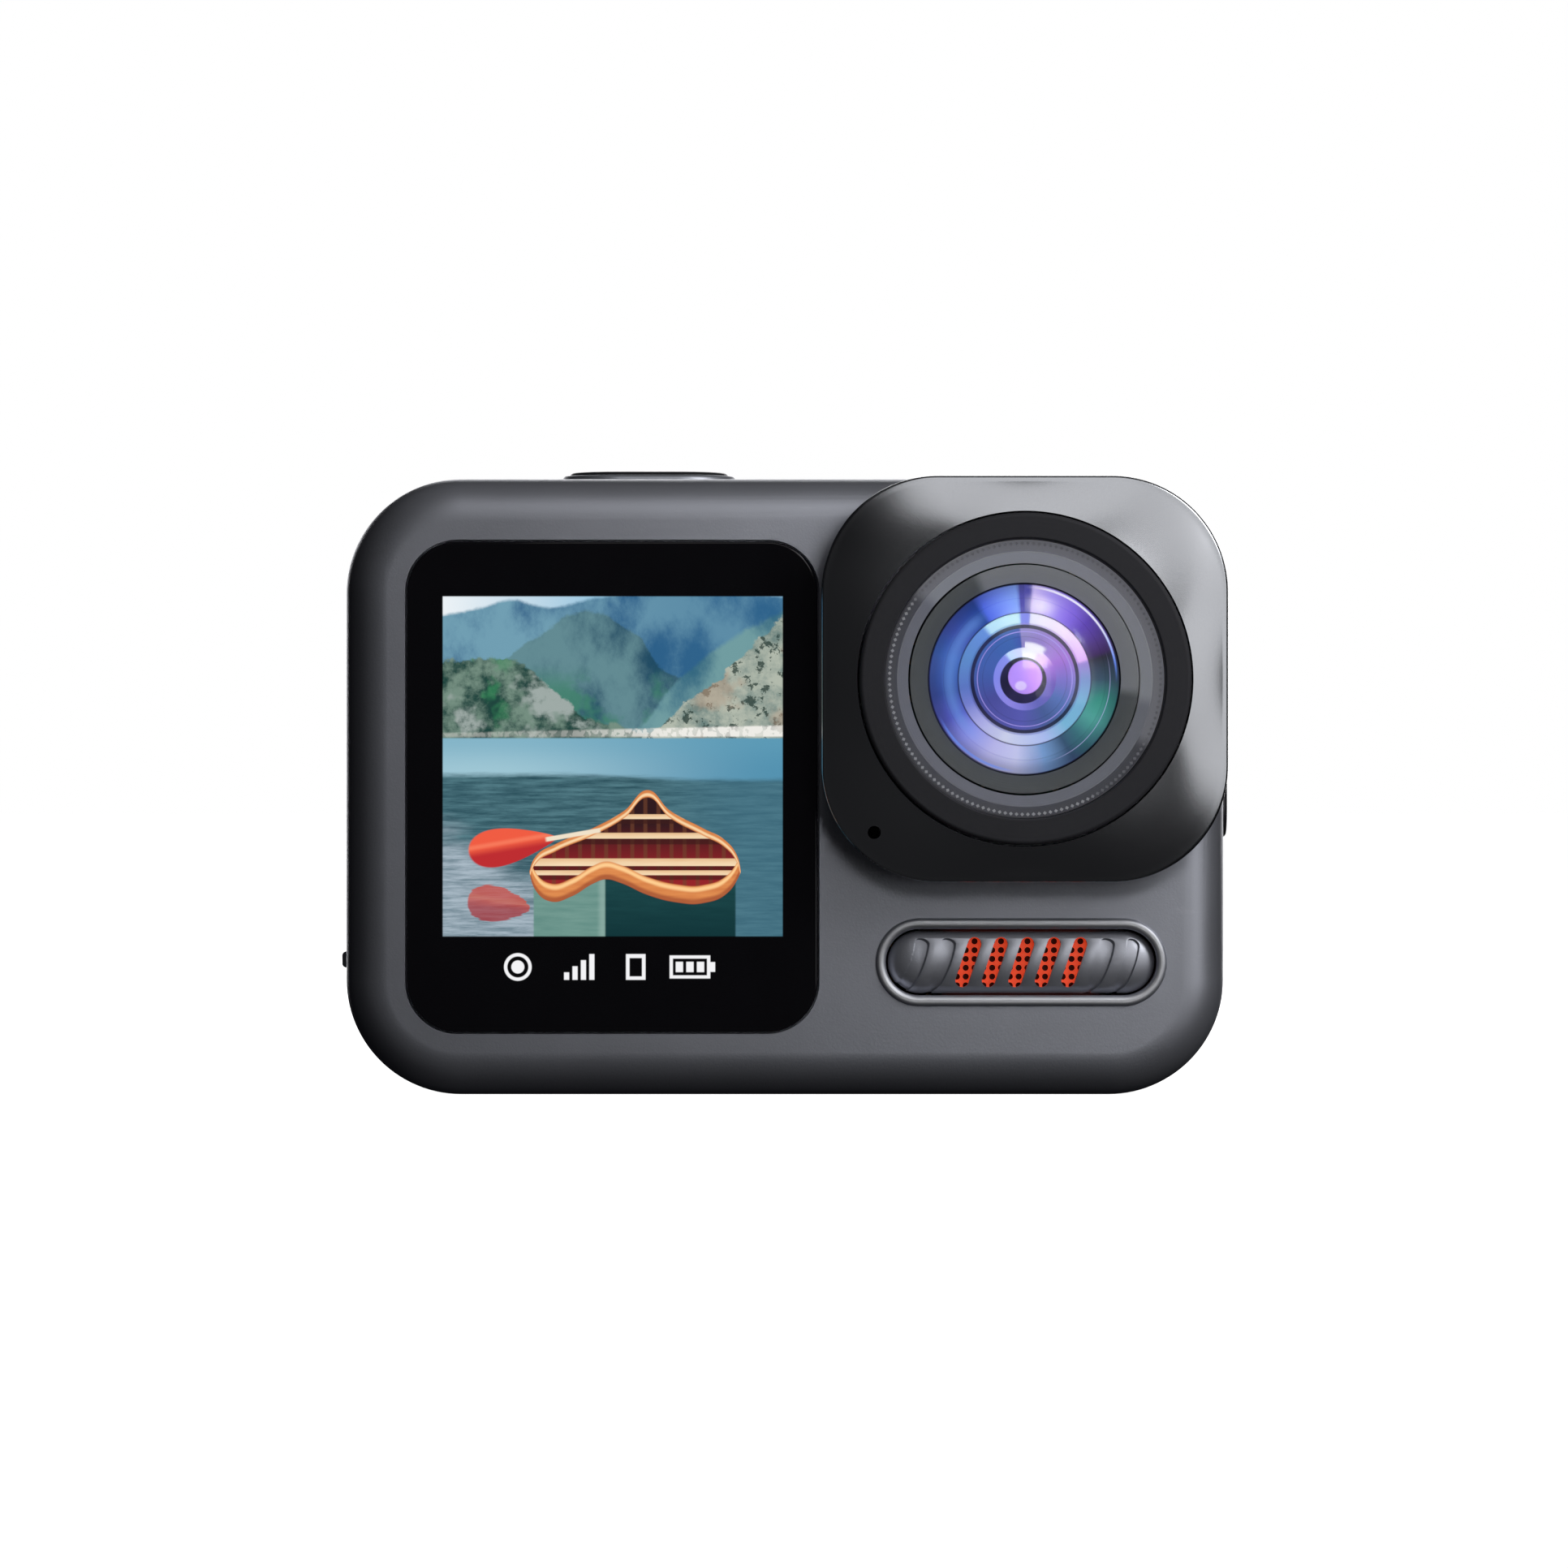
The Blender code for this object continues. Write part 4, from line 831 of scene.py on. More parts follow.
def block(name, x, y, z, axis="Y", corner=0.0, fillets=(0.0, 0.0), steps=(10, 4)):
    """A box over three spans. Its edges along axis are rounded to corner, its two ends to fillets."""
    spans = (x, y, z)
    size = Vector([high - low for low, high in spans]) * MM
    centre = Vector([(low + high) / 2 for low, high in spans])
    k = "XYZ".index(axis)
    bm = bmesh.new()
    bmesh.ops.create_cube(bm, size=1.0, matrix=Matrix.Diagonal((*size, 1.0)))
    if corner:
        sides = [e for e in bm.edges if abs(e.verts[0].co[k] - e.verts[1].co[k]) > TINY]
        bmesh.ops.bevel(bm, geom=sides, offset=corner * MM, segments=steps[0], profile=0.5, affect="EDGES")
        bmesh.ops.remove_doubles(bm, verts=bm.verts, dist=0.01 * MM)
    for level, fillet in zip((-size[k] / 2, size[k] / 2), fillets):
        if fillet:
            rim = [e for e in bm.edges if all(abs(v.co[k] - level) < TINY for v in e.verts)]
            bmesh.ops.bevel(
                bm, geom=rim, offset=fillet * MM, segments=steps[1], profile=0.5, affect="EDGES"
            )
    return make(name, bm, centre)


def pill(name, x, y, z, axis="Y", fillets=(0.0, 0.0), steps=(16, 4)):
    across = [high - low for k, (low, high) in enumerate((x, y, z)) if k != "XYZ".index(axis)]
    return block(name, x, y, z, axis, min(across) / 2, fillets, steps)


def rod(name, centre, radius, length, axis="Y", steps=32):
    bm = bmesh.new()
    bmesh.ops.create_cone(
        bm, cap_ends=True, segments=steps, radius1=radius * MM, radius2=radius * MM, depth=length * MM
    )
    return make(name, bm, centre, TURN_TO[axis])


def turned(name, profile, centre=(LENS_X, FRONT, LENS_Z), rotation=TURN_TO["Y"], steps=192, closed=True):
    """A shape turned about the way it faces, from (radius, height) pairs down its outer side."""
    bm = bmesh.new()
    verts = [bm.verts.new((radius * MM, 0, height * MM)) for radius, height in profile]
    ends = verts + verts[:1] if closed else verts
    for first, second in zip(ends, ends[1:]):
        bm.edges.new((first, second))
    obj = make(name, bm, centre, rotation)
    screw = obj.modifiers.new("turn", "SCREW")
    screw.steps = screw.render_steps = steps
    screw.use_merge_vertices = True
    screw.merge_threshold = 0.00001
    return obj


def loft(name, loops, location, rotation=TURN_TO["Y"], capped=True):
    """A skin over closed loops of (x, y, height) points, closed at its two ends or joined into a ring."""
    bm = bmesh.new()
    rows = [[bm.verts.new(Vector(point) * MM) for point in loop] for loop in loops]
    for below, above in zip(rows, rows[1:] if capped else rows[1:] + rows[:1]):
        for k in range(len(below)):
            after = (k + 1) % len(below)
            bm.faces.new((below[k], below[after], above[after], above[k]))
    if capped:
        bm.faces.new(rows[0])
        bm.faces.new(rows[-1])
    bmesh.ops.recalc_face_normals(bm, faces=bm.faces)
    return make(name, bm, location, rotation)


def stadium(straight, radius, height, count=64):
    """A round-ended outline, as long as its straight sides and two half circles."""
    loop = []
    for side in (1, -1):
        for k in range(count // 2 + 1):
            angle = math.pi * k / (count // 2) - math.pi / 2
            x = straight / 2 + radius * math.cos(angle)
            loop.append((side * x, side * radius * math.sin(angle), height))
    return loop


def around(centre, size):
    return centre - size / 2, centre + size / 2


def grown(ends, by):
    return ends[0] - by, ends[1] + by


def arc(centre, radius, start, end, count=6):
    """Points on an arc of a profile, between two angles in degrees."""
    angles = [math.radians(start + (end - start) * k / (count - 1)) for k in range(count)]
    return [(centre[0] + radius * math.cos(a), centre[1] + radius * math.sin(a)) for a in angles]


def combine(obj, operation, tools):
    holder = bpy.data.collections.new(f"{obj.name}_tools")
    bpy.context.scene.collection.children.link(holder)
    for tool in tools:
        bpy.context.scene.collection.objects.unlink(tool)
        holder.objects.link(tool)
    modifier = obj.modifiers.new(operation.lower(), "BOOLEAN")
    modifier.operation = operation
    modifier.operand_type = "COLLECTION"
    modifier.collection = holder
    modifier.solver = "EXACT"
    return obj


def cut(obj, *tools):
    return combine(obj, "DIFFERENCE", tools)


def join(obj, *tools):
    return combine(obj, "UNION", tools)


def settle(obj, material, body, replaces=(), soften=0.0, angle=32):
    """Makes a shape and its modifiers one plain mesh in place, smooth but for its sharp edges."""
    if soften:
        bevel = obj.modifiers.new("soften", "BEVEL")
        bevel.width = soften * MM
        bevel.segments = 2
        bevel.limit_method = "ANGLE"
        bevel.angle_limit = math.radians(38)
        bevel.use_clamp_overlap = True
        bevel.miter_outer = "MITER_ARC"
    graph = bpy.context.evaluated_depsgraph_get()
    graph.update()
    mesh = bpy.data.meshes.new_from_object(obj.evaluated_get(graph), depsgraph=graph)
    mesh.transform(obj.matrix_world)
    tidy = bmesh.new()
    tidy.from_mesh(mesh)
    bmesh.ops.remove_doubles(tidy, verts=tidy.verts, dist=0.0005 * MM)
    bmesh.ops.recalc_face_normals(tidy, faces=tidy.faces)
    tidy.to_mesh(mesh)
    tidy.free()
    mesh.shade_smooth()
    mesh.set_sharp_from_angle(angle=math.radians(angle))
    mesh.materials.clear()
    mesh.materials.append(material)
    for modifier in obj.modifiers:
        if modifier.type == "BOOLEAN":
            for tool in list(modifier.collection.objects):
                bpy.data.objects.remove(tool, do_unlink=True)
            bpy.data.collections.remove(modifier.collection)
    name = obj.name
    bpy.data.objects.remove(obj, do_unlink=True)
    piece = bpy.data.objects.new(name, mesh)
    bpy.context.scene.collection.objects.link(piece)
    weighted = piece.modifiers.new("even_normals", "WEIGHTED_NORMAL")
    weighted.keep_sharp = True
    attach(piece, body)
    if replaces:
        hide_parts(*replaces)
    return piece


# ================================================================ shells
def shell_front():
    shell = block(
        "shell_front",
        (LEFT, RIGHT),
        (FRONT, SPLIT),
        (0, TOP),
        corner=CORNER,
        fillets=(FRONT_FILLET, 0),
        steps=(28, 12),
    )
    cap, key = "shutter_button", "power_button"
    cap_y, key_y = middle(cap, "Y"), middle(key, "Y")
    cap_x, key_z = middle(cap, "X"), middle(key, "Z")
    module_x, module_z = span("lens_bezel", "X"), span("lens_bezel", "Z")
    join(
        shell,
        block(
            "pedestal",
            module_x,
            (rise(PEDESTAL_RISE), deep(5)),
            module_z,
            corner=CORNER,
            fillets=(0.15, 0),
            steps=(28, 2),
        ),
        pill(
            "grille_rim",
            around(GRILLE_X, RIM_LENGTH),
            (rise(0.35), deep(0.6)),
            around(GRILLE_Z, RIM_HEIGHT),
            fillets=(0.33, 0),
            steps=(24, 5),
        ),
        pill(
            "cap_rim",
            around(cap_x, 13.0),
            around(cap_y, 8.6),
            (TOP - 0.8, span("front_shell", "Z")[1]),
            axis="Z",
            fillets=(0, 0.35),
        ),
    )
    cut(shell, block("cavity", CAVITY_X, (deep(1.8), SPLIT + 2), CAVITY_Z, corner=CAVITY_CORNER))
    join(
        shell,
        *[
            rod(f"boss_{x}_{z}", (x, (deep(2.3) + SPLIT) / 2, z), 2.8, SPLIT - deep(2.3))
            for x, z in SCREW_POSTS
        ],
        rod("socket_boss", (*middle_xy("tripod_nut"), 4.6), 5.6, 5.2, axis="Z"),
    )
    glass_x, glass_z = span("front_glass", "X"), span("front_glass", "Z")
    through = (rise(2), deep(3))
    mouth = ((-2.5, 0), (0.03, 0), (0.14, 0.03), (0.24, 0.1), (0.31, 0.2), (0.345, 0.33), (2.0, 0.33))
    straight, radius = GRILLE_LENGTH - GRILLE_HEIGHT, GRILLE_HEIGHT / 2
    grille_mouth = [stadium(straight, radius + out, height) for height, out in mouth]
    pockets = [
        block(
            "glass_pocket",
            grown(glass_x, SEAM),
            (rise(1), deep(0.9 + SEAM)),
            grown(glass_z, SEAM),
            corner=3.7 + SEAM,
            steps=(20, 1),
        ),
        block(
            "panel_window", grown(span("front_lcd", "X"), GAP), through, grown(span("front_lcd", "Z"), GAP)
        ),
        rod("lens_hole", (LENS_X, FRONT, LENS_Z), 9.0, 8.0, steps=96),
        loft("grille_hole", grille_mouth, (GRILLE_X, FRONT, GRILLE_Z)),
        rod("mic_hole", (MIC_X, FRONT, MIC_Z), 0.5, 8.0),
        pill("cap_hole", around(cap_x, 12.3), around(cap_y, 7.9), (43.1, TOP + 1), axis="Z"),
        pill("key_hole", (29.4, RIGHT + 1), around(key_y, 4.7), around(key_z, 12.3), axis="X"),
    ]
    recesses = [
        block(
            "door_recess",
            (LEFT - 1, -30.7),
            (deep(7.3), deep(19.1)),
            (9.0, 35.0),
            axis="X",
            corner=1.2,
            steps=(6, 1),
        ),
        block(
            "door_pin_hole",
            (-32.2, -31.1),
            (deep(5.9), deep(20.5)),
            around(middle("port_door_pin", "Z"), 1.1),
            corner=0.5,
            steps=(6, 1),
        ),
        block(
            "lid_recess",
            (-23.65, 8.05),
            (deep(3.3), deep(15.9)),
            (-1, 1.7),
            axis="Z",
            corner=1.0,
            steps=(6, 1),
        ),
        block("bay_mouth", (-22.6, 7.0), (deep(4), deep(15)), (1.0, 3.8), axis="Z"),
        block("latch_notch", (-11.1, -4.5), (deep(3.1), deep(4.4)), (1.4, 2.6)),
        rod("lid_pin_hole", (*middle_xy("battery_door_pin"), 0.95), 0.6, 29.6, axis="X", steps=16),
        rod("socket_hole", (*middle_xy("tripod_nut"), 4.0), 4.75, 10.0, axis="Z", steps=64),
    ]
    for k, x in enumerate(LID_KNUCKLES):
        recesses.append(block(f"knuckle_pocket_{k}", grown(x, SEAM), (deep(15.6), deep(18.2)), (-1, 2.0)))
    mouths = (
        ("usb_socket", (3.56, 9.24), 1.6), ("hdmi_socket", (3.3, 6.9), 0.3), ("card_slot", (1.7, 13.3), 0.2)
    )
    for name, size, corner in mouths:
        y, z = middle(name, "Y"), middle(name, "Z")
        recesses.append(
            block(
                f"{name}_mouth",
                (-32, -28.4),
                around(y, size[0]),
                around(z, size[1]),
                axis="X",
                corner=corner,
                steps=(8, 1),
            )
        )
    cut(shell, *pockets, *recesses)
    settle(shell, SHELL, "case", ("front_shell",), soften=0.09)


def shell_rear():
    start = SPLIT + SEAM
    cover = block(
        "shell_rear",
        (LEFT, RIGHT),
        (start, BACK),
        (0, TOP),
        corner=CORNER,
        fillets=(0, BACK_FILLET),
        steps=(28, 9),
    )
    cut(cover, block("cavity", CAVITY_X, (start - 1, deep(22.1)), CAVITY_Z, corner=CAVITY_CORNER))
    glass_x, glass_z = span("rear_glass", "X"), span("rear_glass", "Z")
    holes = [
        block(
            "glass_pocket",
            grown(glass_x, SEAM),
            (deep(22.95), BACK + 1),
            grown(glass_z, SEAM),
            corner=4.15,
            steps=(20, 1),
        ),
        block(
            "panel_window",
            grown(span("rear_lcd", "X"), GAP),
            (deep(21), BACK + 1),
            grown(span("rear_lcd", "Z"), GAP),
        ),
    ]
    for k in range(4):
        x, z = (middle(f"case_screw_{k + 1}", axis) for axis in "XZ")
        holes.append(rod(f"counterbore_{k}", (x, deep(23.9), z), 1.3, 2.0, steps=48))
    cut(cover, *holes)
    settle(cover, SHELL, "case", ("rear_cover",), soften=0.09)


def screws():
    """Countersunk case screws with a six-lobed drive."""
    for k in range(4):
        node = f"case_screw_{k + 1}"
        x, z = middle(node, "X"), middle(node, "Z")
        start, head = span(node, "Y")
        radius = length(node, "X") / 2
        tall = head - start
        rim = arc((radius - 0.2, tall - 0.2), 0.2, 80, 0, 4)
        screw = turned(
            f"screw_{k + 1}",
            [
                (0, tall),
                (radius - 0.2, tall),
                *rim,
                (radius, tall - 0.6),
                (0.6, tall - 0.6),
                (0.6, 0.3),
                (0, 0),
            ],
            (x, start, z),
            (-math.pi / 2, 0, 0),
            steps=48,
            closed=False,
        )
        drive = [rod(f"drive_{k}", (x, head, z), 0.42, 0.9, steps=24)]
        for lobe in range(6):
            turn = math.pi * lobe / 3
            place = (x + 0.42 * math.cos(turn), head, z + 0.42 * math.sin(turn))
            drive.append(rod(f"lobe_{k}_{lobe}", place, 0.14, 0.9, steps=12))
        cut(screw, *drive)
        settle(screw, STEEL, "case", (node,))


def screens():
    for name, node, material, back in (
        ("screen_front", "front_glass", SCREEN_FRONT, False),
        ("screen_rear", "rear_glass", SCREEN_REAR, True),
    ):
        slab = block(
            name,
            *box_of(node),
            corner=4.0 if back else 3.7,
            fillets=(0, 0.15) if back else (0.15, 0),
            steps=(24, 4),
        )
        settle(slab, material, "case", (node,))


# ================================================================ lens module
def square_reach(angle, half, corner):
    """How far a rounded square reaches from its middle in one direction."""
    c, s = abs(math.cos(angle)), abs(math.sin(angle))
    reach = half / max(c, s)
    inner = half - corner
    if min(c, s) * reach > inner:
        along = inner * (c + s)
        reach = along + math.sqrt(along**2 - 2 * inner**2 + corner**2)
    return reach


def module_cover():
    """The square cover: its edge is a rounded square, and it slopes up to the circle of the collar."""
    angles = [2 * math.pi * k / 360 for k in range(360)]
    half, foot = MODULE_SIDE / 2, PEDESTAL_RISE + SEAM

    def ring(reaches, height):
        return [(reach * math.cos(a), reach * math.sin(a), height) for a, reach in zip(angles, reaches)]

    def edge(inset):
        return [square_reach(a, half - inset, CORNER - inset) for a in angles]

    loops = [ring(edge(0), foot)]
    for k in range(6):
        turn = math.pi / 2 * k / 5
        loops.append(ring(edge(0.25 * (1 - math.cos(turn))), BEZEL_EDGE - 0.25 * (1 - math.sin(turn))))
    top = edge(0.25)
    for k in range(1, 13):
        t = k / 12
        height = BEZEL_EDGE + (BEZEL_TOP - BEZEL_EDGE) * (1.25 * t - 0.25 * t * t)
        loops.append(ring([reach + (BEZEL_BORE - reach) * t for reach in top], height))
    loops.append(ring([BEZEL_BORE] * 360, foot))
    cover = loft("module_cover", loops, (LENS_X, FRONT, LENS_Z), capped=False)
    cut(cover, rod("mic", (MIC_X, rise(3), MIC_Z), 0.48, 6.0, steps=48))
    settle(cover, LACQUER, "case", ("lens_bezel",), angle=50)


def lens_rings():
    foot = PEDESTAL_RISE + SEAM
    top = FRONT - span("lens_collar", "Y")[0]
    collar = turned(
        "collar",
        [
            *arc((COLLAR_RADIUS - 0.3, top - 0.3), 0.3, 90, 0),
            (COLLAR_RADIUS, foot),
            (COLLAR_BORE, foot),
            (COLLAR_BORE, top - 0.12),
            (COLLAR_BORE + 0.12, top),
        ],
    )
    settle(collar, COLLAR, "case", ("lens_collar",))
    trim = turned(
        "trim_ring",
        [
            (TRIM_RADIUS, 4.45),
            (TRIM_RADIUS, foot),
            (8.55, foot),
            (8.55, 3.6),
            (8.75, 3.72),
            (9.3, 4.1),
            (9.38, 4.1),
            (9.46, 4.3),
            (10.12, 4.5),
        ],
    )
    trim = settle(trim, BAND, "case", ("lens_trim_ring",))
    trim.data.materials.append(BAND_INNER)
    for face in trim.data.polygons:
        across = face.center - Vector((LENS_X, face.center.y / MM, LENS_Z)) * MM
        face.material_index = int(across.length < BAND_EDGE * MM)
    low, high = heights("lens_retaining_ring")
    ring = turned(
        "lock_ring",
        [(8.4, high), (8.4, low), (7.1, low), (7.1, high - 0.3), (7.25, high - 0.18), (8.25, high)],
    )
    settle(ring, RING, "case", ("lens_retaining_ring",))
    low, high = heights("lens_cover_glass")
    window = turned(
        "lens_window", [(0, high), (10.0, high), (10.1, high - 0.1), (10.1, low), (0, low)], closed=False
    )
    settle(window, WINDOW, "case", ("lens_cover_glass",))


def lens_glass():
    """The domed front element."""
    low, high = heights("lens_front_element")
    rim = 2.4
    drop = high - rim
    sphere = (LENS_RADIUS**2 + drop**2) / (2 * drop)
    across = [LENS_RADIUS * k / 24 for k in range(25)]
    dome = [(r, high - sphere + math.sqrt(sphere**2 - r**2)) for r in across]
    glass = turned(
        "lens_glass", [*dome, (LENS_RADIUS, low), (5.2, low), (3.0, 0.2), (0, 0.7)], closed=False
    )
    settle(glass, LENS_REFLECTIONS, "case", ("lens_front_element",))


# ================================================================ repeated features
class Pattern:
    """A Geometry Nodes tree with named sizes, which ends as real geometry with its material."""

    def __init__(self, name, sizes):
        self.tree = bpy.data.node_groups.new(name, "GeometryNodeTree")
        self.tree.interface.new_socket("Geometry", in_out="INPUT", socket_type="NodeSocketGeometry")
        self.tree.interface.new_socket("Geometry", in_out="OUTPUT", socket_type="NodeSocketGeometry")
        for size, value in sizes.items():
            kind = "NodeSocketInt" if isinstance(value, int) else "NodeSocketFloat"
            self.tree.interface.new_socket(size, in_out="INPUT", socket_type=kind)
        self.sizes = sizes
        self.start = self.tree.nodes.new("NodeGroupInput")
        self.end = self.tree.nodes.new("NodeGroupOutput")

    def size(self, name):
        return self.start.outputs[name]

    def add(self, kind, settings=None, inputs=None, output=0):
        node = self.tree.nodes.new(kind)
        for key, value in (settings or {}).items():
            setattr(node, key, value)
        for key, value in (inputs or {}).items():
            if isinstance(value, bpy.types.NodeSocket):
                self.tree.links.new(value, node.inputs[key])
            else:
                node.inputs[key].default_value = value
        return node.outputs[output]

    def math(self, operation, *values):
        return self.add("ShaderNodeMath", {"operation": operation}, dict(enumerate(values)))

    def vector(self, x, y, z):
        return self.add("ShaderNodeCombineXYZ", None, {0: x, 1: y, 2: z})

    def build(self, name, geometry, material, location=(0, 0, 0), rotation=(0, 0, 0)):
        """Runs the tree on an empty mesh, which is then a plain object."""
        real = self.add("GeometryNodeRealizeInstances", None, {"Geometry": geometry})
        painted = self.add("GeometryNodeSetMaterial", None, {"Geometry": real, "Material": material})
        self.tree.links.new(painted, self.end.inputs[0])
        obj = make(name, bmesh.new(), location, rotation)
        modifier = obj.modifiers.new("pattern", "NODES")
        modifier.node_group = self.tree
        sockets = {
            item.name: item.identifier for item in self.tree.interface.items_tree if item.in_out == "INPUT"
        }
        for size, value in self.sizes.items():
            modifier[sockets[size]] = value
        return obj


def knurling():
    """Fine teeth around the outer edge of the trim ring."""
    tree = Pattern("knurling", {"teeth": 150, "radius": 9.93 * MM, "width": 0.2 * MM, "height": 0.2 * MM})
    ring = tree.add(
        "GeometryNodeMeshCircle", None, {"Vertices": tree.size("teeth"), "Radius": tree.size("radius")}
    )
    size = tree.vector(tree.size("width"), tree.size("width"), tree.size("height"))
    tooth = tree.add("GeometryNodeMeshCube", None, {"Size": size})
    step = tree.math("DIVIDE", 2 * math.pi, tree.size("teeth"))
    turn = tree.math("MULTIPLY_ADD", tree.add("GeometryNodeInputIndex"), step, math.pi / 4)
    placed = tree.add(
        "GeometryNodeInstanceOnPoints",
        None,
        {"Points": ring, "Instance": tooth, "Rotation": tree.vector(0.0, 0.0, turn)},
    )
    teeth = tree.build("knurled_edge", placed, TEETH, (LENS_X, rise(4.58), LENS_Z), TURN_TO["Y"])
    settle(teeth, TEETH, "case")


def grille():
    """The speaker's slatted cover, and the perforated sheet behind its open slots."""
    long, tall = length("speaker_grille", "X"), length("speaker_grille", "Z")
    low, high = heights("speaker_grille")
    half, shoulder = tall / 2, low + 0.06

    def dome(inset, drop):
        """A round-ended cushion, from its back to its crest."""
        loops = [stadium(long - tall, half - inset, low + inset / 2)]
        for k in range(17):
            turn = math.pi / 2 * k / 16
            across = max((half - inset) * math.cos(turn), 0.02)
            height = shoulder + inset / 2 - drop + (high - shoulder - inset / 2) * math.sin(turn)
            loops.append(stadium(long - tall, across, max(height, low + inset / 2 + 0.01 * k + 0.01)))
        return loops

    def slot(k, slant):
        """A leaning round-ended cutter. A slant shows the wall at its upper right and hides the other."""
        c, t = math.cos(SLOT_TILT), math.sin(SLOT_TILT)
        loops = []
        for height in (-2.2, 1.4):
            shift = slant * height
            outline = [(z, x) for x, z, _ in stadium(SLOT_LENGTH - SLOT_WIDTH, SLOT_WIDTH / 2, 0, 32)]
            loops.append([(x * c + z * t + shift, z * c - x * t + shift * 0.9, height) for x, z in outline])
        return loft(f"slot_{k}", loops, (GRILLE_X + (k - 4) * SLOT_PITCH, FRONT, GRILLE_Z))

    cover = loft("grille_cover", dome(0, 0), (GRILLE_X, FRONT, GRILLE_Z))
    cut(cover, *[slot(k, 0.95) for k in (0, 1, 7, 8)])
    join(cover, loft("floor", dome(0.1, 0.2), (GRILLE_X, FRONT, GRILLE_Z)))
    cut(cover, *[slot(k, 0.0) for k in range(2, 7)])
    settle(cover, SHELL, "case", ("speaker_grille",), soften=0.03)

    x, y, z = box_of("speaker_mesh")
    sizes = {"columns": 16, "rows": 6, "pitch": SLOT_PITCH / 3 * MM, "hole": 0.23 * MM}
    sizes.update({"wide": (x[1] - x[0]) * MM, "tall": (z[1] - z[0]) * MM, "thick": (y[1] - y[0]) * MM})
    tree = Pattern("perforation", sizes)
    steps = [tree.math("SUBTRACT", tree.size(count), 1.0) for count in ("columns", "rows")]
    reach = [tree.math("MULTIPLY", step, tree.size("pitch")) for step in steps]
    points = tree.add(
        "GeometryNodeMeshGrid",
        None,
        {
            "Size X": reach[0],
            "Size Y": reach[1],
            "Vertices X": tree.size("columns"),
            "Vertices Y": tree.size("rows"),
        },
    )
    points = tree.add(
        "GeometryNodeTransform", None, {"Geometry": points, "Translation": (0.156 * MM, -0.105 * MM, 0)}
    )
    punch = tree.add(
        "GeometryNodeMeshCylinder",
        None,
        {
            "Vertices": 16,
            "Radius": tree.size("hole"),
            "Depth": tree.math("MULTIPLY", tree.size("thick"), 2.0),
        },
    )
    holes = tree.add("GeometryNodeInstanceOnPoints", None, {"Points": points, "Instance": punch})
    holes = tree.add("GeometryNodeRealizeInstances", None, {"Geometry": holes})
    size = tree.vector(*(tree.size(side) for side in ("wide", "tall", "thick")))
    sheet = tree.add("GeometryNodeMeshCube", None, {"Size": size})
    pierced = tree.add(
        "GeometryNodeMeshBoolean", {"operation": "DIFFERENCE"}, {"Mesh 1": sheet, "Mesh 2": holes}
    )
    sheet = tree.build(
        "grille_sheet", pierced, GLOWING_LACQUERED_SHEET, (sum(x) / 2, sum(y) / 2, sum(z) / 2), TURN_TO["Y"]
    )
    settle(sheet, GLOWING_LACQUERED_SHEET, "case", ("speaker_mesh",))


# ================================================================ buttons, doors and what they hide
def shutter():
    """The shutter cap: a shallow dish in a rounded pill, on its flange and stem."""
    x, y = span("shutter_button", "X"), span("shutter_button", "Y")
    top = span("shutter_button", "Z")[1]
    cx, cy = sum(x) / 2, sum(y) / 2
    cap = pill(
        "shutter_cap",
        around(cx, 12.0),
        around(cy, 7.6),
        (43.4, top),
        axis="Z",
        fillets=(0, 0.45),
        steps=(24, 6),
    )
    join(
        cap,
        pill("flange", x, y, (43.35, 43.8), axis="Z"),
        rod("stem", (cx, cy, 42.6), 1.2, 1.8, axis="Z"),
    )
    ball, dip = 26.0, 0.22
    bm = bmesh.new()
    bmesh.ops.create_uvsphere(bm, u_segments=96, v_segments=96, radius=ball * MM)
    cut(cap, make("dish", bm, (cx, cy, top + ball - dip)))
    settle(cap, CAP, "shutter", ("shutter_button",), soften=0.05)


def power_key():
    y, z = span("power_button", "Y"), span("power_button", "Z")
    low, high = span("power_button", "X")
    cy, cz = sum(y) / 2, sum(z) / 2
    cap = pill(
        "power_cap",
        (30.0, high),
        around(cy, 4.4),
        around(cz, 12.0),
        axis="X",
        fillets=(0, 0.35),
        steps=(24, 6),
    )
    join(
        cap,
        pill("flange", (29.5, 30.15), y, z, axis="X"),
        rod("stem", ((low + 29.8) / 2, cy, cz), 1.0, 29.8 - low, axis="X"),
    )
    settle(cap, CAP, "power_key", ("power_button",), soften=0.05)


def side_door():
    """The door over the sockets, with its finger lip and its knuckle on the hinge pin."""
    pin_x, pin_z = (middle("port_door_pin", axis) for axis in "XZ")
    y = span("port_door", "Y")
    low = span("port_door", "X")[0]
    bottom = span("port_door", "Z")[0]
    door = block(
        "door_side",
        (LEFT, -31.4),
        y,
        (bottom, 32.9),
        axis="X",
        corner=1.2,
        fillets=(0.18, 0),
        steps=(10, 3),
    )
    join(
        door,
        block("arm", (LEFT, -31.4), (deep(8.5), deep(17.9)), (32.0, pin_z)),
        rod("knuckle", (pin_x, deep(13.2), pin_z), 0.85, 9.4, steps=48),
        block(
            "lip",
            (low, LEFT + 0.5),
            (deep(9.6), deep(16.8)),
            (bottom + 0.1, bottom + 1.3),
            axis="Y",
            corner=0.3,
            steps=(6, 1),
        ),
    )
    cut(door, rod("pin_bore", (pin_x, deep(13.2), pin_z), 0.55, 12.0, steps=24))
    settle(door, SHELL, "side_door", ("port_door",), soften=0.06)


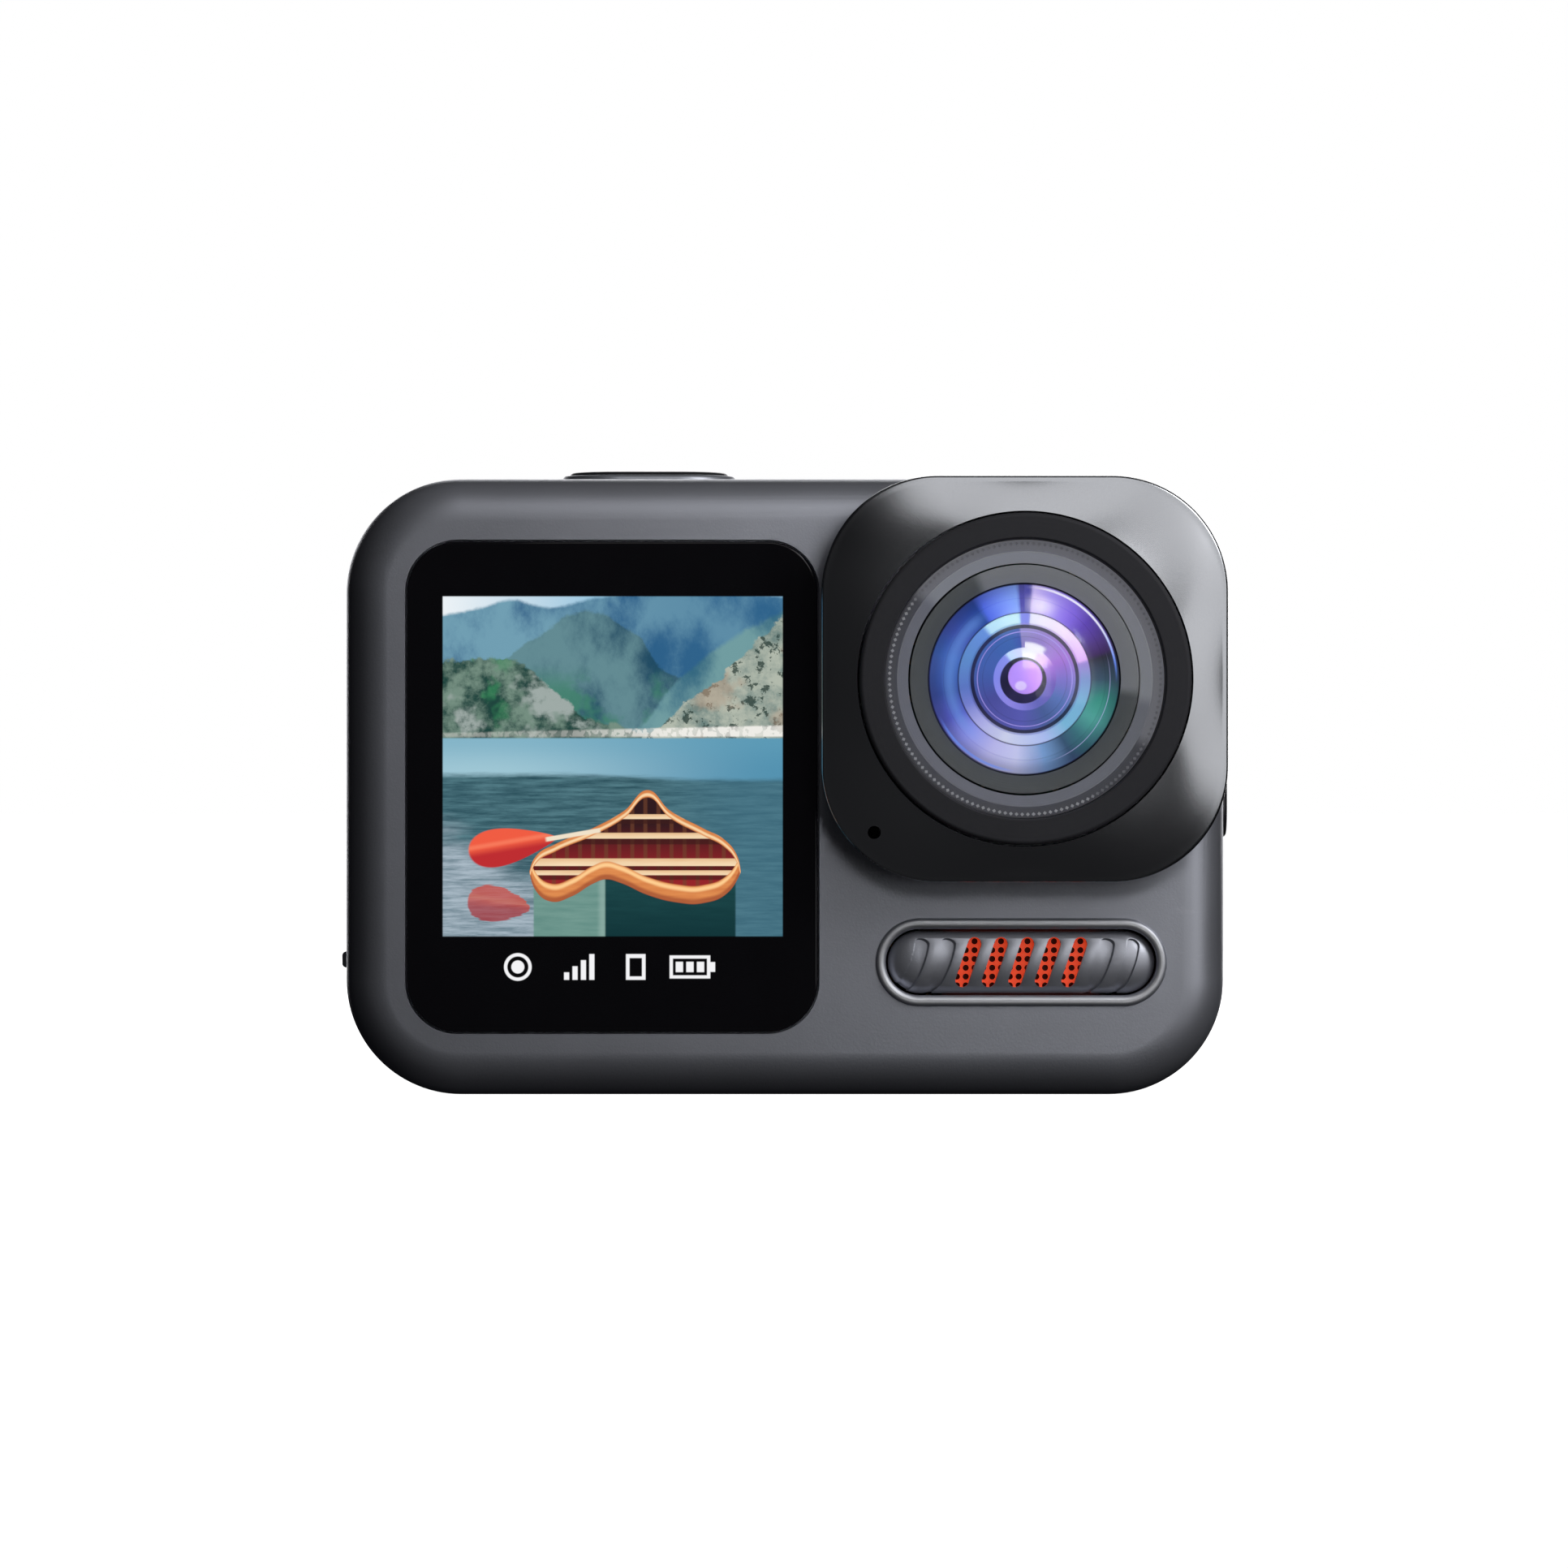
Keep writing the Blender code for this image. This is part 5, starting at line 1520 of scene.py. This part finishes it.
def bottom_door():
    x, y = (span("battery_door", axis) for axis in "XY")
    pin_y, pin_z = middle("battery_door_pin", "Y"), middle("battery_door_pin", "Z")
    plate = block(
        "door_bottom",
        x,
        (y[0], deep(15.45)),
        (0.05, 1.25),
        axis="Z",
        corner=0.9,
        fillets=(0.15, 0),
        steps=(8, 3),
    )
    hinges = []
    for k, ends in enumerate(LID_KNUCKLES):
        hinges.append(block(f"arm_{k}", ends, (deep(15.0), pin_y), (0.05, 1.25)))
        hinges.append(rod(f"knuckle_{k}", (sum(ends) / 2, pin_y, pin_z), 0.9, 5.0, axis="X", steps=48))
    join(plate, *hinges)
    latch_x, latch_y = span("battery_latch", "X"), (deep(5.5), deep(7.9))
    slot_y = (latch_y[0] - SEAM, latch_y[1] + 1.65)
    cut(
        plate,
        rod("pin_bore", (middle("battery_door_pin", "X"), pin_y, pin_z), 0.55, 40.0, axis="X", steps=24),
        block("latch_slot", grown(latch_x, SEAM), slot_y, (-1, 2), axis="Z", corner=0.5, steps=(6, 1)),
    )
    settle(plate, SHELL, "bottom_door", ("battery_door",), soften=0.06)
    low, top = span("battery_latch", "Z")
    knob = block(
        "latch_knob", latch_x, latch_y, (low, 1.9), axis="Z", corner=0.4, fillets=(0.12, 0), steps=(6, 3)
    )
    join(knob, block("plate", latch_x, span("battery_latch", "Y"), (1.7, top)))
    settle(knob, ORANGE, "latch", ("battery_latch",), soften=0.05)

    sizes = {"ribs": 5, "pitch": 0.42 * MM, "long": 4.6 * MM, "thick": 0.2 * MM, "tall": 0.2 * MM}
    tree = Pattern("latch_ribs", sizes)
    line = tree.add(
        "GeometryNodeMeshLine",
        None,
        {"Count": tree.size("ribs"), "Offset": tree.vector(0.0, tree.size("pitch"), 0.0)},
    )
    rib = tree.add(
        "GeometryNodeMeshCube",
        None,
        {"Size": tree.vector(tree.size("long"), tree.size("thick"), tree.size("tall"))},
    )
    ribs = tree.add("GeometryNodeInstanceOnPoints", None, {"Points": line, "Instance": rib})
    start = sum(latch_y) / 2 - 2 * 0.42
    piece = tree.build("latch_ribs", ribs, ORANGE, (sum(latch_x) / 2, start, low + 0.02))
    settle(piece, ORANGE, "latch")


def tripod_socket():
    """The brass insert, with the grooves of its thread down the bore."""
    x, y = middle_xy("tripod_nut")
    low, high = span("tripod_nut", "Z")
    bore, pitch, depth = 3.175, 1.27, 0.55
    outer = length("tripod_nut", "X") / 2
    wall = [(bore + 0.25, low)]
    turns = int((high - 1.2 - low) / pitch)
    for k in range(turns):
        start = low + 0.35 + k * pitch
        wall += [
            (bore, start),
            (bore, start + 0.12),
            (bore + depth, start + pitch / 2),
            (bore, start + pitch - 0.12),
        ]
    ceiling = high - 0.5
    profile = [
        (0, high),
        (outer, high),
        (outer, low + 0.2),
        (outer - 0.2, low),
        *wall,
        (bore, ceiling),
        (0, ceiling),
    ]
    nut = turned("tripod_thread", profile, (x, y, 0), (0, 0, 0), steps=96, closed=False)
    settle(nut, BRASS, "case", ("tripod_nut",))


def battery_pack():
    x, y, z = box_of("battery")
    pack = block("battery_pack", x, y, z, axis="Z", corner=1.4, fillets=(0.4, 0.4), steps=(8, 4))
    cut(
        pack,
        block(
            "pull_notch", around(sum(x) / 2, 8.0), (y[0] - 1, y[0] + 0.6), (z[0] - 1, z[0] + 1.6), axis="Y"
        ),
    )
    settle(pack, BATTERY, "case", ("battery",), soften=0.04)


def dress(nodes, material):
    """Gives CAD nodes that keep their shape a material."""
    for name in nodes:
        mesh = frame["nodes"][name].data
        mesh.materials.clear()
        mesh.materials.append(material)


def inside():
    dress(("body_seal", "port_door_seal", "battery_door_seal"), RUBBER)
    dress(("main_board", "sensor_board", "shutter_board", "power_board"), BOARD)
    dress(("front_display_ribbon",), RIBBON)
    dress(
        ("port_door_pin", "battery_door_pin", "heat_spreader", "card_slot", "usb_socket", "hdmi_socket"),
        STEEL,
    )
    dress(("shutter_spring", "power_spring"), STEEL)
    dress(("wifi_antenna", "battery_contacts"), BRASS)
    dress(("lens_middle_element", "lens_rear_element", "ir_filter"), OPTIC)
    dress(("lens_barrel", "lens_holder", "image_sensor", "speaker", "battery_bay"), BLACK)
    dress(("shutter_switch", "power_switch", "processor", "microphone"), BLACK)
    dress(("front_lcd", "rear_lcd"), PANEL)


# ================================================================ studio
AIM = Vector((-0.06, FRONT, 23.0))
LIGHT_REACH = 150.0
DISTANCE = 641.0  # from the camera to the widest outline of the body
FIELD = 116.28  # how much the view takes in there


def softbox(name, size, place, brightness):
    """A soft rectangular light that faces the object's middle, with its place in millimetres from there."""
    light = bpy.data.lights.new(name, "AREA")
    light.shape = "RECTANGLE"
    light.size, light.size_y = (side * MM for side in size)
    light.energy = brightness * math.pi * light.size * light.size_y
    lamp = bpy.data.objects.new(name, light)
    lamp.location = (AIM + Vector(place)) * MM
    lamp.visible_camera = False
    bpy.context.scene.collection.objects.link(lamp)
    return lamp


def front_light(name, x, z, brightness):
    """A softbox on an upright plane before the object, from its spans to the right and up."""
    size = (x[1] - x[0], z[1] - z[0])
    lamp = softbox(name, size, (sum(x) / 2, -LIGHT_REACH, sum(z) / 2), brightness)
    lamp.rotation_euler = (math.pi / 2, 0, 0)


def round_light(name, place, side, brightness):
    """A square softbox that is turned to the object's middle."""
    lamp = softbox(name, (side, side), place, brightness)
    lamp.rotation_euler = Vector(place).to_track_quat("Z", "Y").to_euler()


def studio():
    scene = bpy.context.scene
    lens = bpy.data.cameras.new("view")
    lens.sensor_width = 36.0
    lens.lens = DISTANCE * 36.0 / FIELD
    lens.clip_start, lens.clip_end = 0.01, 50.0
    camera = bpy.data.objects.new("view", lens)
    camera.location = Vector((AIM.x, FRONT + FRONT_FILLET - DISTANCE, AIM.z)) * MM
    camera.rotation_euler = (math.pi / 2, 0, 0)
    scene.collection.objects.link(camera)
    scene.camera = camera

    bm = bmesh.new()
    bmesh.ops.create_grid(bm, x_segments=1, y_segments=1, size=6.0)
    floor = make("floor", bm)
    made = Finish("pale_floor", roughness=0.9, emission_color=(1, 1, 1), emission_strength=1.0)
    made.put("Base Color", (0.9, 0.9, 0.9))
    floor.data.materials.append(made.material)
    floor.visible_glossy = False
    floor.visible_diffuse = False

    world = bpy.data.worlds.new("studio")
    scene.world = world
    world.use_nodes = True
    tree = world.node_tree
    seen = tree.nodes.new("ShaderNodeLightPath")
    mixed = tree.nodes.new("ShaderNodeMix")
    mixed.data_type = "RGBA"
    mixed.inputs[6].default_value = (0.005, 0.005, 0.006, 1)
    mixed.inputs[7].default_value = (1, 1, 1, 1)
    tree.links.new(seen.outputs["Is Camera Ray"], mixed.inputs[0])
    tree.links.new(mixed.outputs[2], tree.nodes["Background"].inputs[0])
    scene.view_settings.view_transform = "Standard"

    front_light("top_light", (-25, 60), (87, 285), 1.1)
    front_light("joint_light", (56, 129), (44, 285), 0.92)
    front_light("right_light", (105, 285), (-38, 87), 1.08)
    front_light("corner_light", (18, 60), (27, 54), 6.6)
    front_light("key_light", (129, 285), (87, 285), 8.0)
    front_light("side_light", (40, 66), (-20, 27), 1.7)
    front_light("front_fill", (-285, 105), (-285, 60), 0.017)
    round_light("overhead", (0, 0, 200), 260, 0.06)
    round_light("underside", (0, 0, -200), 260, 0.01)
    for name, place in (("left", (-175, 480, 60)), ("right", (175, 480, 60)), ("top", (0, 480, 180))):
        round_light(f"back_{name}", place, 170, 3.6)


def main():
    shell_front()
    shell_rear()
    screws()
    screens()
    module_cover()
    lens_rings()
    lens_glass()
    knurling()
    grille()
    shutter()
    power_key()
    side_door()
    bottom_door()
    tripod_socket()
    battery_pack()
    inside()
    studio()


main()
